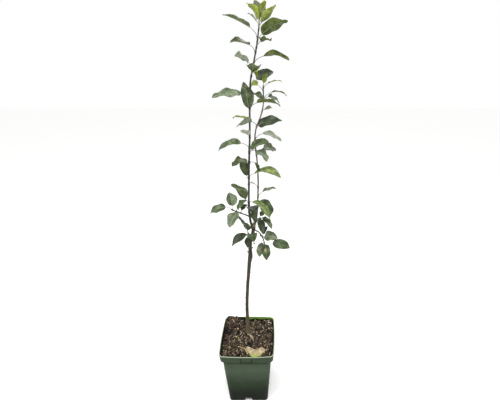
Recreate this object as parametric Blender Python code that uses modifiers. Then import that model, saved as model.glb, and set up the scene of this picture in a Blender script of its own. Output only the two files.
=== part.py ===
"""Dwarf apple tree in a deep square nursery pot.

A young grafted apple whip, about 1.05 m tall over all: a moulded square pot filled with bark and
peat mix, a grafted trunk, a leader and a second stem from one fork, a low bough on each side, and
masses of leaves. The origin is the middle of the pot's underside, the front faces -Y and +Z is up.
"""

import math
import random
from collections import namedtuple

import bmesh
import bpy
from mathutils import Matrix, Vector, noise

# All sizes are in millimetres and degrees here, and meshes are built in metres.
MM = 0.001
GAP = 0.3

# The pot: a 15 cm square rim on a 20 cm deep tapered body, with a shoulder under a wide collar.
POT_HEIGHT = 200.0
RIM_HALF = 76.0
RIM_BOW = 2.5
COLLAR_HEIGHT = 24.0
COLLAR_FOOT_HALF = 73.8
SHOULDER_HALF = 68.0
BASE_HALF = 57.2
WALL = 1.6
LIP_WALL = 2.2
LIP_HEIGHT = 4.0
RIM_CORNER = 11.0
BASE_CORNER = 10.0
CORNER_STEPS = 6
SIDES = 4
SHELF = POT_HEIGHT - COLLAR_HEIGHT

# Points of a side between its corners: the place along it, and the share of the bow it takes.
SIDE_POINTS = ((-0.6, 0.75), (0.0, 1.0), (0.6, 0.75))

# The side from foot to lip: half width, corner radius, bow and height of each ring, and the share
# of the wall by which the inside is raised there.
POT_SIDE = (
    (BASE_HALF - 1.0, BASE_CORNER, 0.0, 0.0, 1.0),
    (BASE_HALF + 0.1, BASE_CORNER, 0.0, 1.2, 1.0),
    ((BASE_HALF + SHOULDER_HALF) / 2.0, BASE_CORNER, 0.6, SHELF / 2.0, 0.0),
    (SHOULDER_HALF, BASE_CORNER + 1.0, 1.2, SHELF - 2.0, 0.4),
    (COLLAR_FOOT_HALF - 1.6, RIM_CORNER - 1.0, 1.4, SHELF + 0.2, 0.7),
    (COLLAR_FOOT_HALF, RIM_CORNER, 1.4, SHELF + 2.4, 0.5),
    (RIM_HALF - 0.6, RIM_CORNER, RIM_BOW, POT_HEIGHT - LIP_HEIGHT, 0.0),
)
# The rolled lip on top of it: half width and height.
POT_LIP = (
    (RIM_HALF - 0.3, POT_HEIGHT - 0.6), (RIM_HALF - 0.8, POT_HEIGHT), (RIM_HALF - LIP_WALL, POT_HEIGHT),
)

# How far a cutter runs on past the face that it cuts.
CUT_OVER = 4.0

# A shallow label panel in the middle of each side of the collar.
LABEL_WIDTH = 30.2
LABEL_LOW = 179.0
LABEL_HIGH = 195.0
LABEL_DEPTH = 0.7
LABEL_TOP_SHARE = 0.94
LABEL_BOW_SHARE = 0.8

# A drain notch under the middle of each side: an arch, roofed by a small hood inside the pot.
NOTCH_WIDTH = 24.0
NOTCH_TOP_WIDTH = 20.0
NOTCH_HEIGHT = 12.5
NOTCH_DEPTH = 13.0
HOOD_WALL = 1.5
DRAIN_RADIUS = 3.5
DRAIN_INSET = 7.0
DRAIN_FACETS = 12

# The potting mix: level round the trunk, heaped up to the rim at the back left.
GROUND = 189.0
HEAP_HEIGHT = 18.0
HEAP_AT = (-53.0, 60.0)
HEAP_REACH = 38.0
LUMP = 3.2
LUMP_SIZE = 17.0
LUMP_SLICE = 4.0
LEVEL_RING = 20.0
LOOSE_RING = 15.0
MIX_RINGS = (0.93, 0.8, 0.64, 0.48, 0.34, 0.22)
MIX_EDGE_GAP = 0.4
MIX_BOW = 1.5

# The trunk's centre line from the soil to the fork, each knot x, y, z and radius.
TRUNK = (
    (-3.2, 28.0, 189.3, 8.6), (-3.2, 28.0, 194.0, 6.6), (-3.0, 28.0, 206.0, 5.5),
    (-2.7, 28.0, 245.0, 5.0), (-2.2, 28.0, 290.0, 4.6), (1.3, 28.0, 350.0, 4.6),
    (6.3, 28.0, 405.0, 4.8), (9.3, 28.0, 436.0, 5.4), (12.1, 28.5, 453.0, 6.3),
    (12.5, 29.0, 468.0, 5.4), (12.5, 29.0, 486.0, 4.6), (16.5, 28.0, 512.0, 4.2),
    (21.3, 27.0, 531.0, 4.3), (22.7, 27.0, 539.0, 5.2), (22.8, 27.0, 543.0, 5.4),
)
# Snags and healed buds on the trunk: height, heading, length, radius and rise.
TRUNK_STUBS = (
    (464.0, 190.0, 10.5, 1.7, 35.0), (477.0, 10.0, 9.5, 1.6, 30.0), (313.0, 185.0, 6.6, 1.4, 30.0),
    (366.0, 170.0, 6.6, 1.4, 30.0), (400.0, 355.0, 6.8, 1.4, 30.0), (443.0, 250.0, 7.2, 1.6, 20.0),
    (286.0, 60.0, 6.4, 1.3, 25.0),
)
# A stub's radius at its foot, neck and tip, as shares of its own, and where its neck is.
STUB_FOOT = 1.3
STUB_TIP = 0.6
STUB_NECK_AT = 0.8

# The shoots' centre lines, in the same form. The leader and the second stem share the fork.
LEADER = (
    (19.7, 26.4, 544.0, 3.2), (18.9, 26.0, 551.0, 3.1), (16.1, 25.0, 562.0, 3.0),
    (13.5, 22.5, 604.0, 2.7), (15.8, 20.0, 680.0, 2.4), (18.6, 20.0, 742.0, 2.3),
    (21.1, 21.0, 787.0, 2.1), (22.5, 22.0, 844.0, 2.0), (25.3, 24.0, 898.0, 1.9),
    (32.9, 26.0, 936.0, 1.8), (41.3, 28.0, 976.0, 1.6), (47.8, 28.0, 1021.0, 1.1),
)
SECOND_STEM = (
    (26.2, 27.4, 543.9, 2.5), (26.7, 27.6, 550.0, 2.5), (30.8, 28.0, 569.0, 2.4),
    (33.8, 28.0, 594.0, 2.2), (36.3, 28.0, 635.0, 2.0), (37.7, 28.0, 674.0, 1.9),
    (35.9, 28.0, 725.0, 1.8), (32.3, 27.0, 768.0, 1.7), (35.1, 28.0, 798.0, 1.6),
    (47.7, 29.0, 831.0, 1.5), (53.1, 30.0, 858.0, 1.4), (52.7, 30.0, 891.0, 1.1),
)
LEFT_BOUGH = (
    (10.6, 22.9, 579.0, 1.7), (4.3, 22.0, 582.5, 1.7), (-13.7, 20.0, 590.5, 1.5),
    (-28.7, 18.0, 598.0, 1.3),
)
RIGHT_BOUGH = (
    (27.6, 26.0, 536.0, 1.7), (37.3, 23.0, 531.5, 1.6), (45.3, 21.0, 520.0, 1.5),
    (50.3, 19.5, 505.0, 1.4), (53.3, 18.5, 483.0, 1.2),
)
TRUNK_SPUR = ((15.7, 22.6, 522.5, 1.8), (12.8, 20.0, 525.5, 1.7), (9.8, 17.5, 531.0, 1.4))
CROTCH_SPUR = ((35.3, 26.2, 568.5, 1.6), (38.8, 24.5, 569.5, 1.5), (42.3, 23.0, 572.0, 1.3))
LINE_STEP = 9.0

# Where each bare bough ends and a mass of leaves takes over, as distances along its line.
LEADER_CUTS = (42.0, 196.0, 316.0, 414.0)
SECOND_CUTS = (54.0, 190.0, 275.0)
LEFT_CUT = 17.0
RIGHT_CUT = 24.0

# A leaf: its place along the shoot, the way it points, its rise, stalk, blade length and width,
# its roll about its own midrib, and how far the blade bends down from base to tip.
Leaf = namedtuple("Leaf", "at heading rise stalk length width roll bend", defaults=(0, 30))

LEADER_LOW = (
    Leaf(57, 292, 2, 10, 46, 36), Leaf(64, 142, 30, 18, 58, 34, 0, 40),
    Leaf(72, 312, -22, 20, 70, 28, 10, 50), Leaf(122, 126, 54, 22, 46, 28),
    Leaf(139, 331, 0, 22, 76, 31, -14, 72), Leaf(177, 330, -62, 17, 24, 13),
    Leaf(178, 226, -3, 8, 46, 29, 14, 36), Leaf(46, 322, -62, 6, 32, 22),
)
LEADER_MIDDLE = (
    Leaf(206, 334, 24, 8, 50, 34, -34, 26), Leaf(201, 322, -30, 23, 40, 32, 0, 36),
    Leaf(213, 186, -18, 23, 56, 29, 20, 50), Leaf(237, 238, 26, 8, 34, 20, -20, 40),
    Leaf(272, 152, 0, 10, 40, 12, 8), Leaf(281, 260, 62, 25, 64, 31, 0, 20),
    Leaf(300, 336, -3, 24, 58, 30, 20, 34),
)
LEADER_UPPER = (
    Leaf(317, 200, -3, 26, 63, 30, 32, 18), Leaf(326, 58, -26, 13, 40, 28),
    Leaf(341, 32, 19, 27, 46, 31, -38), Leaf(369, 286, 14, 16, 45, 32, 6, 34),
    Leaf(380, 300, -44, 8, 20, 13), Leaf(384, 140, 15, 19, 42, 32, -40),
    Leaf(394, 14, -8, 26, 60, 22, 30, 52),
)
LEADER_TOP = (
    Leaf(417, 218, 7, 21, 46, 30, 20, 20), Leaf(427, 318, 2, 17, 30, 24, 10),
    Leaf(438, 336, 21, 18, 62, 34, 36, 34), Leaf(444, 165, 23, 27, 63, 27, 10, 14),
    Leaf(460, 322, 37, 15, 48, 18, 24, 16), Leaf(466, 150, 36, 13, 25, 12), Leaf(472, 210, 50, 9, 36, 28),
    Leaf(475, 310, 57, 8, 33, 27), Leaf(474, 240, 64, 8, 34, 27, 0, 40),
)
SECOND_LOW = (
    Leaf(73, 2, -58, 4, 55, 35, -58, 50), Leaf(85, 32, 2, 18, 42, 19), Leaf(111, 164, 6, 13, 16, 10),
)
SECOND_MIDDLE = (
    Leaf(194, 42, -18, 25, 45, 25, -48), Leaf(232, 28, -27, 24, 54, 25, -30, 40),
    Leaf(261, 346, 13, 5, 58, 34, -36, 22), Leaf(263, 222, -8, 19, 44, 28, -44, 36),
)
SECOND_TOP = (
    Leaf(297, 332, 16, 4, 25, 18, -20), Leaf(321, 40, -24, 16, 37, 20, -36),
    Leaf(325, 26, -14, 23, 42, 12, 0, 60), Leaf(340, 144, 0, 21, 24, 22, 34),
    Leaf(345, 36, 4, 18, 39, 8, 0, 34), Leaf(349, 300, 56, 10, 24, 11, 20),
)
LEFT_LEAVES = (
    Leaf(21, 40, 34, 7, 22, 18), Leaf(28, 242, -40, 6, 44, 34, 0, 40), Leaf(33, 350, 46, 8, 36, 26, -30),
    Leaf(41, 116, 56, 12, 35, 33), Leaf(42, 188, -20, 20, 44, 25, 34),
)
RIGHT_LEAVES = (
    Leaf(27, 50, 46, 8, 24, 16), Leaf(29, 340, 3, 6, 38, 30, -42, 40), Leaf(43, 240, -60, 7, 38, 24),
    Leaf(46, 284, -62, 7, 42, 26), Leaf(60, 6, -18, 23, 51, 31, -38, 34),
)
TRUNK_SPUR_LEAVES = (
    Leaf(4, 286, -2, 13, 38, 30), Leaf(5, 258, -74, 11, 30, 18), Leaf(7, 207, -33, 8, 51, 28, 12, 40),
    Leaf(11, 240, 62, 12, 34, 28), Leaf(12, 140, 33, 22, 38, 15, -20),
)
CROTCH_LEAVES = (
    Leaf(3, 288, -44, 6, 40, 22), Leaf(5, 340, -12, 5, 28, 16), Leaf(7, 326, -36, 8, 38, 20),
    Leaf(2, 30, 30, 8, 30, 22),
)

# The blade's outline: the place of its widest part, its roundness, and its narrowing to the tip.
BLADE_THICK = 0.8
BLADE_STATIONS = 7
BLADE_PEAK = 0.78
BLADE_ROUND = 0.74
BLADE_TAPER = 0.18
TIP_SHARE = 0.07

# The stalk leaves the shoot at a steep angle and bows over to the blade.
STALK_RADIUS = 0.85
STALK_RISE = 55.0
ROOT_RISE = 40.0
BOW_SHARE = 0.55
BOW_LOW = 0.62
BOW_HIGH = 0.42
MIDRIB_RADIUS = 0.6
MIDRIB_SHARE = 0.4

# How much leaves differ, in degrees: sway of the stalk, twist of the blade and its fold.
SWAY = 8.0
SWAY_START = 0.3
TWIST = 14.0
FOLD_LEAST = 10.0
FOLD_MOST = 26.0

# How near a leaf may come to a limb that isn't its own, or to a leaf of another mass.
LIMB_CLEARANCE = 1.5
LEAF_CLEARANCE = 1.2

# The dry leaf that lies on the mix at the front, one row for each place along its bent midrib:
# x, y, half width to the back and to the front, and the lift of the back margin and the midrib.
FALLEN_LEAF = (
    (-5.0, -44.0, 1.0, 1.0, 2.5, 2.2), (0.0, -48.0, 7.5, 6.0, 9.5, 3.6),
    (7.0, -52.0, 8.5, 9.5, 9.0, 4.2), (15.0, -55.0, 7.2, 11.0, 7.0, 4.6),
    (23.0, -56.5, 7.0, 10.8, 7.0, 5.0), (30.0, -57.0, 8.5, 10.5, 9.0, 5.0),
    (36.0, -56.5, 10.5, 10.2, 11.5, 5.2), (41.5, -55.5, 10.5, 8.5, 11.5, 5.6),
    (46.5, -54.5, 8.0, 4.5, 8.5, 6.0), (51.0, -53.5, 4.5, 1.5, 6.0, 6.2),
)
# Its stalk: x, y and lift.
FALLEN_STALK = (
    (-27.5, -32.0, 1.2), (-20.0, -36.0, 2.2), (-13.0, -40.0, 2.6), (-6.0, -44.0, 2.8), (0.0, -48.6, 4.0),
)
FALLEN_LIFT = 1.5
FALLEN_COLUMNS = 4


def reset_scene():
    for item in list(bpy.data.objects):
        bpy.data.objects.remove(item, do_unlink=True)
    made = []
    for title in ("dwarf_apple_tree", "cutters"):
        group = bpy.data.collections.new(title)
        bpy.context.scene.collection.children.link(group)
        made.append(group)
    return made


def finish(title, colour, roughness):
    made = bpy.data.materials.new(title)
    made.use_nodes = True
    shader = made.node_tree.nodes["Principled BSDF"]
    shader.inputs["Base Color"].default_value = (*colour, 1.0)
    shader.inputs["Roughness"].default_value = roughness
    shader.inputs["Metallic"].default_value = 0.0
    return made


def place(name, mesh, group, material=None):
    item = bpy.data.objects.new(name, mesh)
    group.objects.link(item)
    if material:
        mesh.materials.clear()
        mesh.materials.append(material)
    return item


def heading_vector(heading, rise):
    turn, lift = math.radians(heading), math.radians(rise)
    return Vector((math.cos(turn) * math.cos(lift), math.sin(turn) * math.cos(lift), math.sin(lift)))


def rounded_square(half, corner, bow, z, middle=(0.0, 0.0), share=1.0):
    """One ring of a square tube: round corners, and sides that bow out in the middle."""
    ring = []
    for side in range(SIDES):
        turn = Matrix.Rotation(side * math.tau / SIDES, 3, "Z")
        for along, bow_share in SIDE_POINTS:
            ring.append(turn @ Vector((half + bow * bow_share, along * (half - corner), 0.0)))
        for step in range(CORNER_STEPS + 1):
            angle = step * math.tau / SIDES / CORNER_STEPS
            edge = Vector((half - corner, half - corner, 0.0))
            ring.append(turn @ (edge + corner * Vector((math.cos(angle), math.sin(angle), 0.0))))
    centre = Vector((middle[0], middle[1], 0.0))
    return [centre.lerp(point, share) + Vector((0.0, 0.0, z)) for point in ring]


def loft(name, rings, group, material):
    """Skins a row of like rings and closes both ends."""
    mesh = bpy.data.meshes.new(name)
    bm = bmesh.new()
    rows = [[bm.verts.new(point * MM) for point in ring] for ring in rings]
    for low, high in zip(rows, rows[1:]):
        for index in range(len(low)):
            after = (index + 1) % len(low)
            bm.faces.new((low[index], low[after], high[after], high[index]))
    bm.faces.new(list(reversed(rows[0])))
    bm.faces.new(rows[-1])
    bmesh.ops.recalc_face_normals(bm, faces=bm.faces)
    bm.to_mesh(mesh)
    bm.free()
    return place(name, mesh, group, material)


def cut(item, cutter, operation="DIFFERENCE"):
    knife = item.modifiers.new(cutter.name, "BOOLEAN")
    knife.object = cutter
    knife.operation = operation
    knife.solver = "EXACT"
    cutter.hide_render = True
    cutter.display_type = "WIRE"


def block(name, low, high, group, top_share=1.0):
    """A box from corner to corner, whose top may be narrower across X."""
    mesh = bpy.data.meshes.new(name)
    bm = bmesh.new()
    bmesh.ops.create_cube(bm, size=1.0)
    size = Vector(high) - Vector(low)
    middle = (Vector(high) + Vector(low)) / 2.0
    for vert in bm.verts:
        narrow = top_share if vert.co.z > 0.0 else 1.0
        vert.co = Vector((vert.co.x * size.x * narrow, vert.co.y * size.y, vert.co.z * size.z))
        vert.co = (vert.co + middle) * MM
    bm.to_mesh(mesh)
    bm.free()
    return place(name, mesh, group)


def around_sides(source, group):
    """Copies of a cutter made at the front, one for each side of the pot."""
    copies = [source]
    for side in range(1, SIDES):
        turned = source.data.copy()
        turned.transform(Matrix.Rotation(side * math.tau / SIDES, 4, "Z"))
        copies.append(place(f"{source.name}_{side}", turned, group))
    return copies


def pot_profile(inset):
    """The pot's side from its floor to its rim, moved in by the thickness of a wall."""
    return [
        rounded_square(half - inset, corner, bow, z + raised * inset)
        for half, corner, bow, z, raised in POT_SIDE
    ]


def make_pot(parts, cutters, material):
    lip = [rounded_square(half, RIM_CORNER, RIM_BOW, z) for half, z in POT_LIP]
    inside = list(reversed(pot_profile(WALL)))
    pot = loft("pot", pot_profile(0.0) + lip + inside, parts, material)

    foot = -BASE_HALF
    hood_half = NOTCH_WIDTH / 2.0 + HOOD_WALL
    hood = block(
        "drain_hood", (-hood_half, foot + WALL / 2.0, WALL / 2.0),
        (hood_half, foot + NOTCH_DEPTH + HOOD_WALL, NOTCH_HEIGHT + HOOD_WALL), cutters,
    )
    notch = block(
        "drain_notch", (-NOTCH_WIDTH / 2.0, foot - CUT_OVER, -CUT_OVER),
        (NOTCH_WIDTH / 2.0, foot + NOTCH_DEPTH, NOTCH_HEIGHT), cutters, NOTCH_TOP_WIDTH / NOTCH_WIDTH,
    )
    drain_mesh = bpy.data.meshes.new("drain_hole")
    bm = bmesh.new()
    bmesh.ops.create_cone(
        bm, cap_ends=True, segments=DRAIN_FACETS, radius1=DRAIN_RADIUS * MM,
        radius2=DRAIN_RADIUS * MM, depth=2.0 * CUT_OVER * MM,
    )
    bmesh.ops.translate(bm, verts=bm.verts, vec=Vector((0.0, foot + DRAIN_INSET, NOTCH_HEIGHT)) * MM)
    bm.to_mesh(drain_mesh)
    bm.free()
    drain = place("drain_hole", drain_mesh, cutters)

    lean = math.atan2(RIM_HALF - COLLAR_FOOT_HALF, COLLAR_HEIGHT - LIP_HEIGHT)
    panel = block(
        "label_panel", (-LABEL_WIDTH / 2.0, -CUT_OVER, LABEL_LOW - LABEL_HIGH),
        (LABEL_WIDTH / 2.0, LABEL_DEPTH, 0.0), cutters, LABEL_TOP_SHARE,
    )
    share = (LABEL_HIGH - SHELF) / COLLAR_HEIGHT
    face = COLLAR_FOOT_HALF + (RIM_HALF - COLLAR_FOOT_HALF) * share + RIM_BOW * LABEL_BOW_SHARE
    panel.data.transform(
        Matrix.Translation(Vector((0.0, -face, LABEL_HIGH)) * MM) @ Matrix.Rotation(lean, 4, "X")
    )
    for copy in around_sides(hood, cutters):
        cut(pot, copy, "UNION")
    for feature in (notch, drain, panel):
        for copy in around_sides(feature, cutters):
            cut(pot, copy)
    return pot


def ground_height(x, y):
    """The top of the potting mix: level at the trunk, lumpy elsewhere, heaped at the back left."""
    away = math.hypot(x - TRUNK[0][0], y - TRUNK[0][1])
    loose = min(1.0, max(0.0, (away - LEVEL_RING) / LOOSE_RING))
    heap = math.hypot(x - HEAP_AT[0], y - HEAP_AT[1]) / HEAP_REACH
    lump = LUMP * noise.noise(Vector((x, y, LUMP_SLICE)) / LUMP_SIZE)
    return GROUND + loose * (lump + HEAP_HEIGHT * max(0.0, 1.0 - heap * heap))


def make_potting_mix(parts, cutters, material):
    wall = WALL + GAP
    rings = pot_profile(wall)[:-1]
    foot_of_trunk = TRUNK[0][:2]
    share = (GROUND - SHELF) / COLLAR_HEIGHT
    edge = COLLAR_FOOT_HALF + (RIM_HALF - COLLAR_FOOT_HALF) * share - wall - MIX_EDGE_GAP
    for reach in (1.0,) + MIX_RINGS:
        ring = rounded_square(edge, RIM_CORNER, MIX_BOW, 0.0, foot_of_trunk, reach)
        rings.append([Vector((p.x, p.y, ground_height(p.x, p.y))) for p in ring])
    mix = loft("potting_mix", rings, parts, material)

    foot = -BASE_HALF
    room_half = NOTCH_WIDTH / 2.0 + HOOD_WALL + GAP
    room = block(
        "hood_room", (-room_half, foot - CUT_OVER, -CUT_OVER),
        (room_half, foot + NOTCH_DEPTH + HOOD_WALL + GAP, NOTCH_HEIGHT + HOOD_WALL + GAP), cutters,
    )
    for copy in around_sides(room, cutters):
        cut(mix, copy)
    return mix


def line_points(knots):
    """A smooth line through knots, with a point about every LINE_STEP: x, y, z and radius."""
    rows = [Vector(knot) for knot in knots]
    rows = [rows[0] * 2.0 - rows[1]] + rows + [rows[-1] * 2.0 - rows[-2]]
    line = []
    for before, start, end, after in zip(rows, rows[1:], rows[2:], rows[3:]):
        steps = max(1, round((end - start).length / LINE_STEP))
        for step in range(steps):
            t = step / steps
            line.append(
                0.5 * (
                    2.0 * start + (end - before) * t
                    + (2.0 * before - 5.0 * start + 4.0 * end - after) * t * t
                    + (3.0 * start - before - 3.0 * end + after) * t ** 3
                )
            )
    line.append(rows[-2])
    return line


def line_lengths(line):
    lengths = [0.0]
    for start, end in zip(line, line[1:]):
        lengths.append(lengths[-1] + (end.xyz - start.xyz).length)
    return lengths


def point_at(line, distance):
    lengths = line_lengths(line)
    for index in range(1, len(line)):
        if distance <= lengths[index] or index == len(line) - 1:
            share = (distance - lengths[index - 1]) / (lengths[index] - lengths[index - 1])
            return line[index - 1].lerp(line[index], share)


def stretch(line, start, end):
    """The part of a line between two distances along it."""
    inner = [p for p, d in zip(line, line_lengths(line)) if start + 1.0 < d < end - 1.0]
    return [point_at(line, start)] + inner + [point_at(line, end)]


def tube(name, line, group, resolution, material=None):
    """A tapering round bar along a line, with its caps welded on."""
    curve = bpy.data.curves.new(name, "CURVE")
    curve.dimensions = "3D"
    curve.bevel_depth = MM
    curve.bevel_resolution = resolution
    curve.use_fill_caps = True
    spline = curve.splines.new("POLY")
    spline.points.add(len(line) - 1)
    for point, row in zip(spline.points, line):
        point.co = (*(row.xyz * MM), 1.0)
        point.radius = row.w
    guide = place(name + "_line", curve, group)
    bpy.context.view_layer.update()
    mesh = bpy.data.meshes.new_from_object(guide.evaluated_get(bpy.context.evaluated_depsgraph_get()))
    bm = bmesh.new()
    bm.from_mesh(mesh)
    bmesh.ops.remove_doubles(bm, verts=bm.verts, dist=0.01 * MM)
    bmesh.ops.recalc_face_normals(bm, faces=bm.faces)
    bm.to_mesh(mesh)
    bm.free()
    mesh.shade_smooth()
    made = place(name, mesh, group, material)
    made.matrix_world = guide.matrix_world
    bpy.data.objects.remove(guide, do_unlink=True)
    return made


def fuse(item, group):
    """Joins every object of a collection to an object, then removes them."""
    joint = item.modifiers.new("fuse", "BOOLEAN")
    joint.operation = "UNION"
    joint.operand_type = "COLLECTION"
    joint.collection = group
    joint.solver = "EXACT"
    bpy.context.view_layer.update()
    mesh = bpy.data.meshes.new_from_object(item.evaluated_get(bpy.context.evaluated_depsgraph_get()))
    item.modifiers.clear()
    item.data = mesh
    for operand in list(group.objects):
        bpy.data.objects.remove(operand, do_unlink=True)
    bpy.data.collections.remove(group)


def operand_group(title):
    group = bpy.data.collections.new(title)
    bpy.context.scene.collection.children.link(group)
    return group


def blade_share(along):
    """The blade's half width along its length, as a share of the widest: rounded, with a point."""
    full = math.sin(math.pi * along ** BLADE_PEAK) ** BLADE_ROUND if 0.0 < along < 1.0 else 0.0
    return max(TIP_SHARE, full * (1.0 - BLADE_TAPER * along))


def leaf_nature(mass, index):
    """The small seeded differences of one leaf: sway of the stalk, twist and fold of the blade."""
    chance = random.Random(f"{mass} {index}")
    sway, twist = chance.uniform(-SWAY, SWAY), chance.uniform(-TWIST, TWIST)
    return sway, twist, chance.uniform(FOLD_LEAST, FOLD_MOST)


def blade_rows(leaf, nature, root, count):
    """The blade from base to tip: midrib point, side, upper face and half width at each row."""
    sway, twist, fold = nature
    rows = []
    point = root.copy()
    for index in range(count):
        along = index / (count - 1)
        heading = leaf.heading + sway * (along - SWAY_START)
        forward = heading_vector(heading, leaf.rise + leaf.bend * (0.5 - along))
        side = forward.cross(Vector((0.0, 0.0, 1.0))).normalized()
        turn = Matrix.Rotation(-math.radians(leaf.roll + twist * (along - 0.5)), 3, forward)
        side = turn @ side
        rows.append((point.copy(), side, side.cross(forward), leaf.width / 2.0 * blade_share(along)))
        point += forward * leaf.length / (count - 1)
    return rows, math.radians(fold)


def blade_point(rows, fold, row, across):
    point, side, upper, half = rows[row]
    return point + half * across * math.cos(fold) * side + half * abs(across) * math.sin(fold) * upper


def stalk_line(leaf, nature, start, rows):
    """The stalk from the middle of its shoot to the blade, and on under the blade as its midrib."""
    heading = leaf.heading - nature[0]
    bow = start + heading_vector(heading, STALK_RISE + leaf.rise / 2.0) * leaf.stalk * BOW_SHARE
    base = rows[0][0]
    points = [start, start.lerp(bow, BOW_LOW), bow.lerp(base, BOW_HIGH), base]
    rib = [row[0] for row in rows[1:] if (row[0] - base).length < leaf.length * MIDRIB_SHARE]
    line = [Vector((*point, STALK_RADIUS)) for point in points]
    return line + [Vector((*point, MIDRIB_RADIUS)) for point in rib]


def leaf_root(leaf, start):
    return start + heading_vector(leaf.heading, ROOT_RISE + leaf.rise / 2.0) * leaf.stalk


def make_blade(name, rows, fold, group):
    mesh = bpy.data.meshes.new(name)
    bm = bmesh.new()
    bmesh.ops.create_grid(bm, x_segments=2, y_segments=len(rows) - 1, size=1.0)
    for vert in bm.verts:
        row = round((vert.co.y + 1.0) / 2.0 * (len(rows) - 1))
        vert.co = blade_point(rows, fold, row, vert.co.x) * MM
    bm.to_mesh(mesh)
    bm.free()
    blade = place(name, mesh, group)
    shell = blade.modifiers.new("thickness", "SOLIDIFY")
    shell.thickness = BLADE_THICK * MM
    shell.offset = 0.0
    return blade


def keeps_clear(points, limbs, others):
    """True when a leaf touches no limb but its own, and no leaf of another mass."""
    for point in points:
        for line in limbs:
            for row in line:
                if (point - row.xyz).length < row.w + LIMB_CLEARANCE:
                    return False
        if any((point - other).length < LEAF_CLEARANCE for other in others):
            return False
    return True


def make_mass(name, line, leaves, offset, limbs, taken, parts, material):
    """One mass of leaves: a length of shoot, with each leaf's stalk and blade fused on."""
    stem = tube(name, line, parts, 1, material)
    group = operand_group(name + "_leaves")
    own = []
    for index, leaf in enumerate(leaves):
        start = point_at(line, leaf.at - offset).xyz
        nature = leaf_nature(name, index)
        rows, fold = blade_rows(leaf, nature, leaf_root(leaf, start), BLADE_STATIONS)
        outline = [blade_point(rows, fold, row, across) for row in range(len(rows))
                   for across in (-1.0, -0.5, 0.0, 0.5, 1.0)]
        if not keeps_clear(outline, limbs, taken):
            continue
        own.extend(outline)
        make_blade(f"{name}_blade_{index}", rows, fold, group)
        tube(f"{name}_stalk_{index}", stalk_line(leaf, nature, start, rows), group, 0)
    fuse(stem, group)
    stem.data.materials.clear()
    stem.data.materials.append(material)
    taken.extend(own)
    return stem


def make_trunk(parts, material):
    line = line_points(TRUNK)
    trunk = tube("trunk", line, parts, 3, material)
    group = operand_group("trunk_stubs")
    for index, (height, heading, length, radius, rise) in enumerate(TRUNK_STUBS):
        start = min(line, key=lambda row: abs(row.z - height)).xyz
        end = start + heading_vector(heading, rise) * length
        neck = start.lerp(end, STUB_NECK_AT)
        stub = [
            Vector((*start, radius * STUB_FOOT)), Vector((*neck, radius)),
            Vector((*end, radius * STUB_TIP)),
        ]
        tube(f"trunk_stub_{index}", stub, group, 1)
    fuse(trunk, group)
    trunk.data.materials.clear()
    trunk.data.materials.append(material)
    return trunk


def make_fallen_leaf(parts, material):
    """The dry leaf on the mix: a stalk, and a blade folded along its midrib, one half standing up."""
    mesh = bpy.data.meshes.new("fallen_leaf")
    bm = bmesh.new()
    bmesh.ops.create_grid(bm, x_segments=FALLEN_COLUMNS, y_segments=len(FALLEN_LEAF) - 1, size=1.0)
    for vert in bm.verts:
        row = round((vert.co.y + 1.0) / 2.0 * (len(FALLEN_LEAF) - 1))
        x, y, back, front, back_lift, rib_lift = FALLEN_LEAF[row]
        across = vert.co.x
        reach = back * across if across > 0.0 else front * across
        margin_lift = back_lift if across > 0.0 else 0.0
        lift = FALLEN_LIFT + rib_lift + (margin_lift - rib_lift) * abs(across)
        vert.co = Vector((x, y + reach, ground_height(x, y + reach) + lift)) * MM
    bm.to_mesh(mesh)
    bm.free()
    blade = place("fallen_leaf", mesh, parts, material)
    shell = blade.modifiers.new("thickness", "SOLIDIFY")
    shell.thickness = BLADE_THICK * MM
    shell.offset = -1.0
    bpy.context.view_layer.update()
    evaluated = blade.evaluated_get(bpy.context.evaluated_depsgraph_get())
    solid = bpy.data.meshes.new_from_object(evaluated)
    blade.modifiers.clear()
    blade.data = solid
    group = operand_group("fallen_leaf_stalk")
    stalk = [
        Vector((x, y, ground_height(x, y) + FALLEN_LIFT + lift, STALK_RADIUS)) for x, y, lift in FALLEN_STALK
    ]
    tube("fallen_leaf_stalk", stalk, group, 0)
    fuse(blade, group)
    blade.data.materials.clear()
    blade.data.materials.append(material)
    return blade


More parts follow.
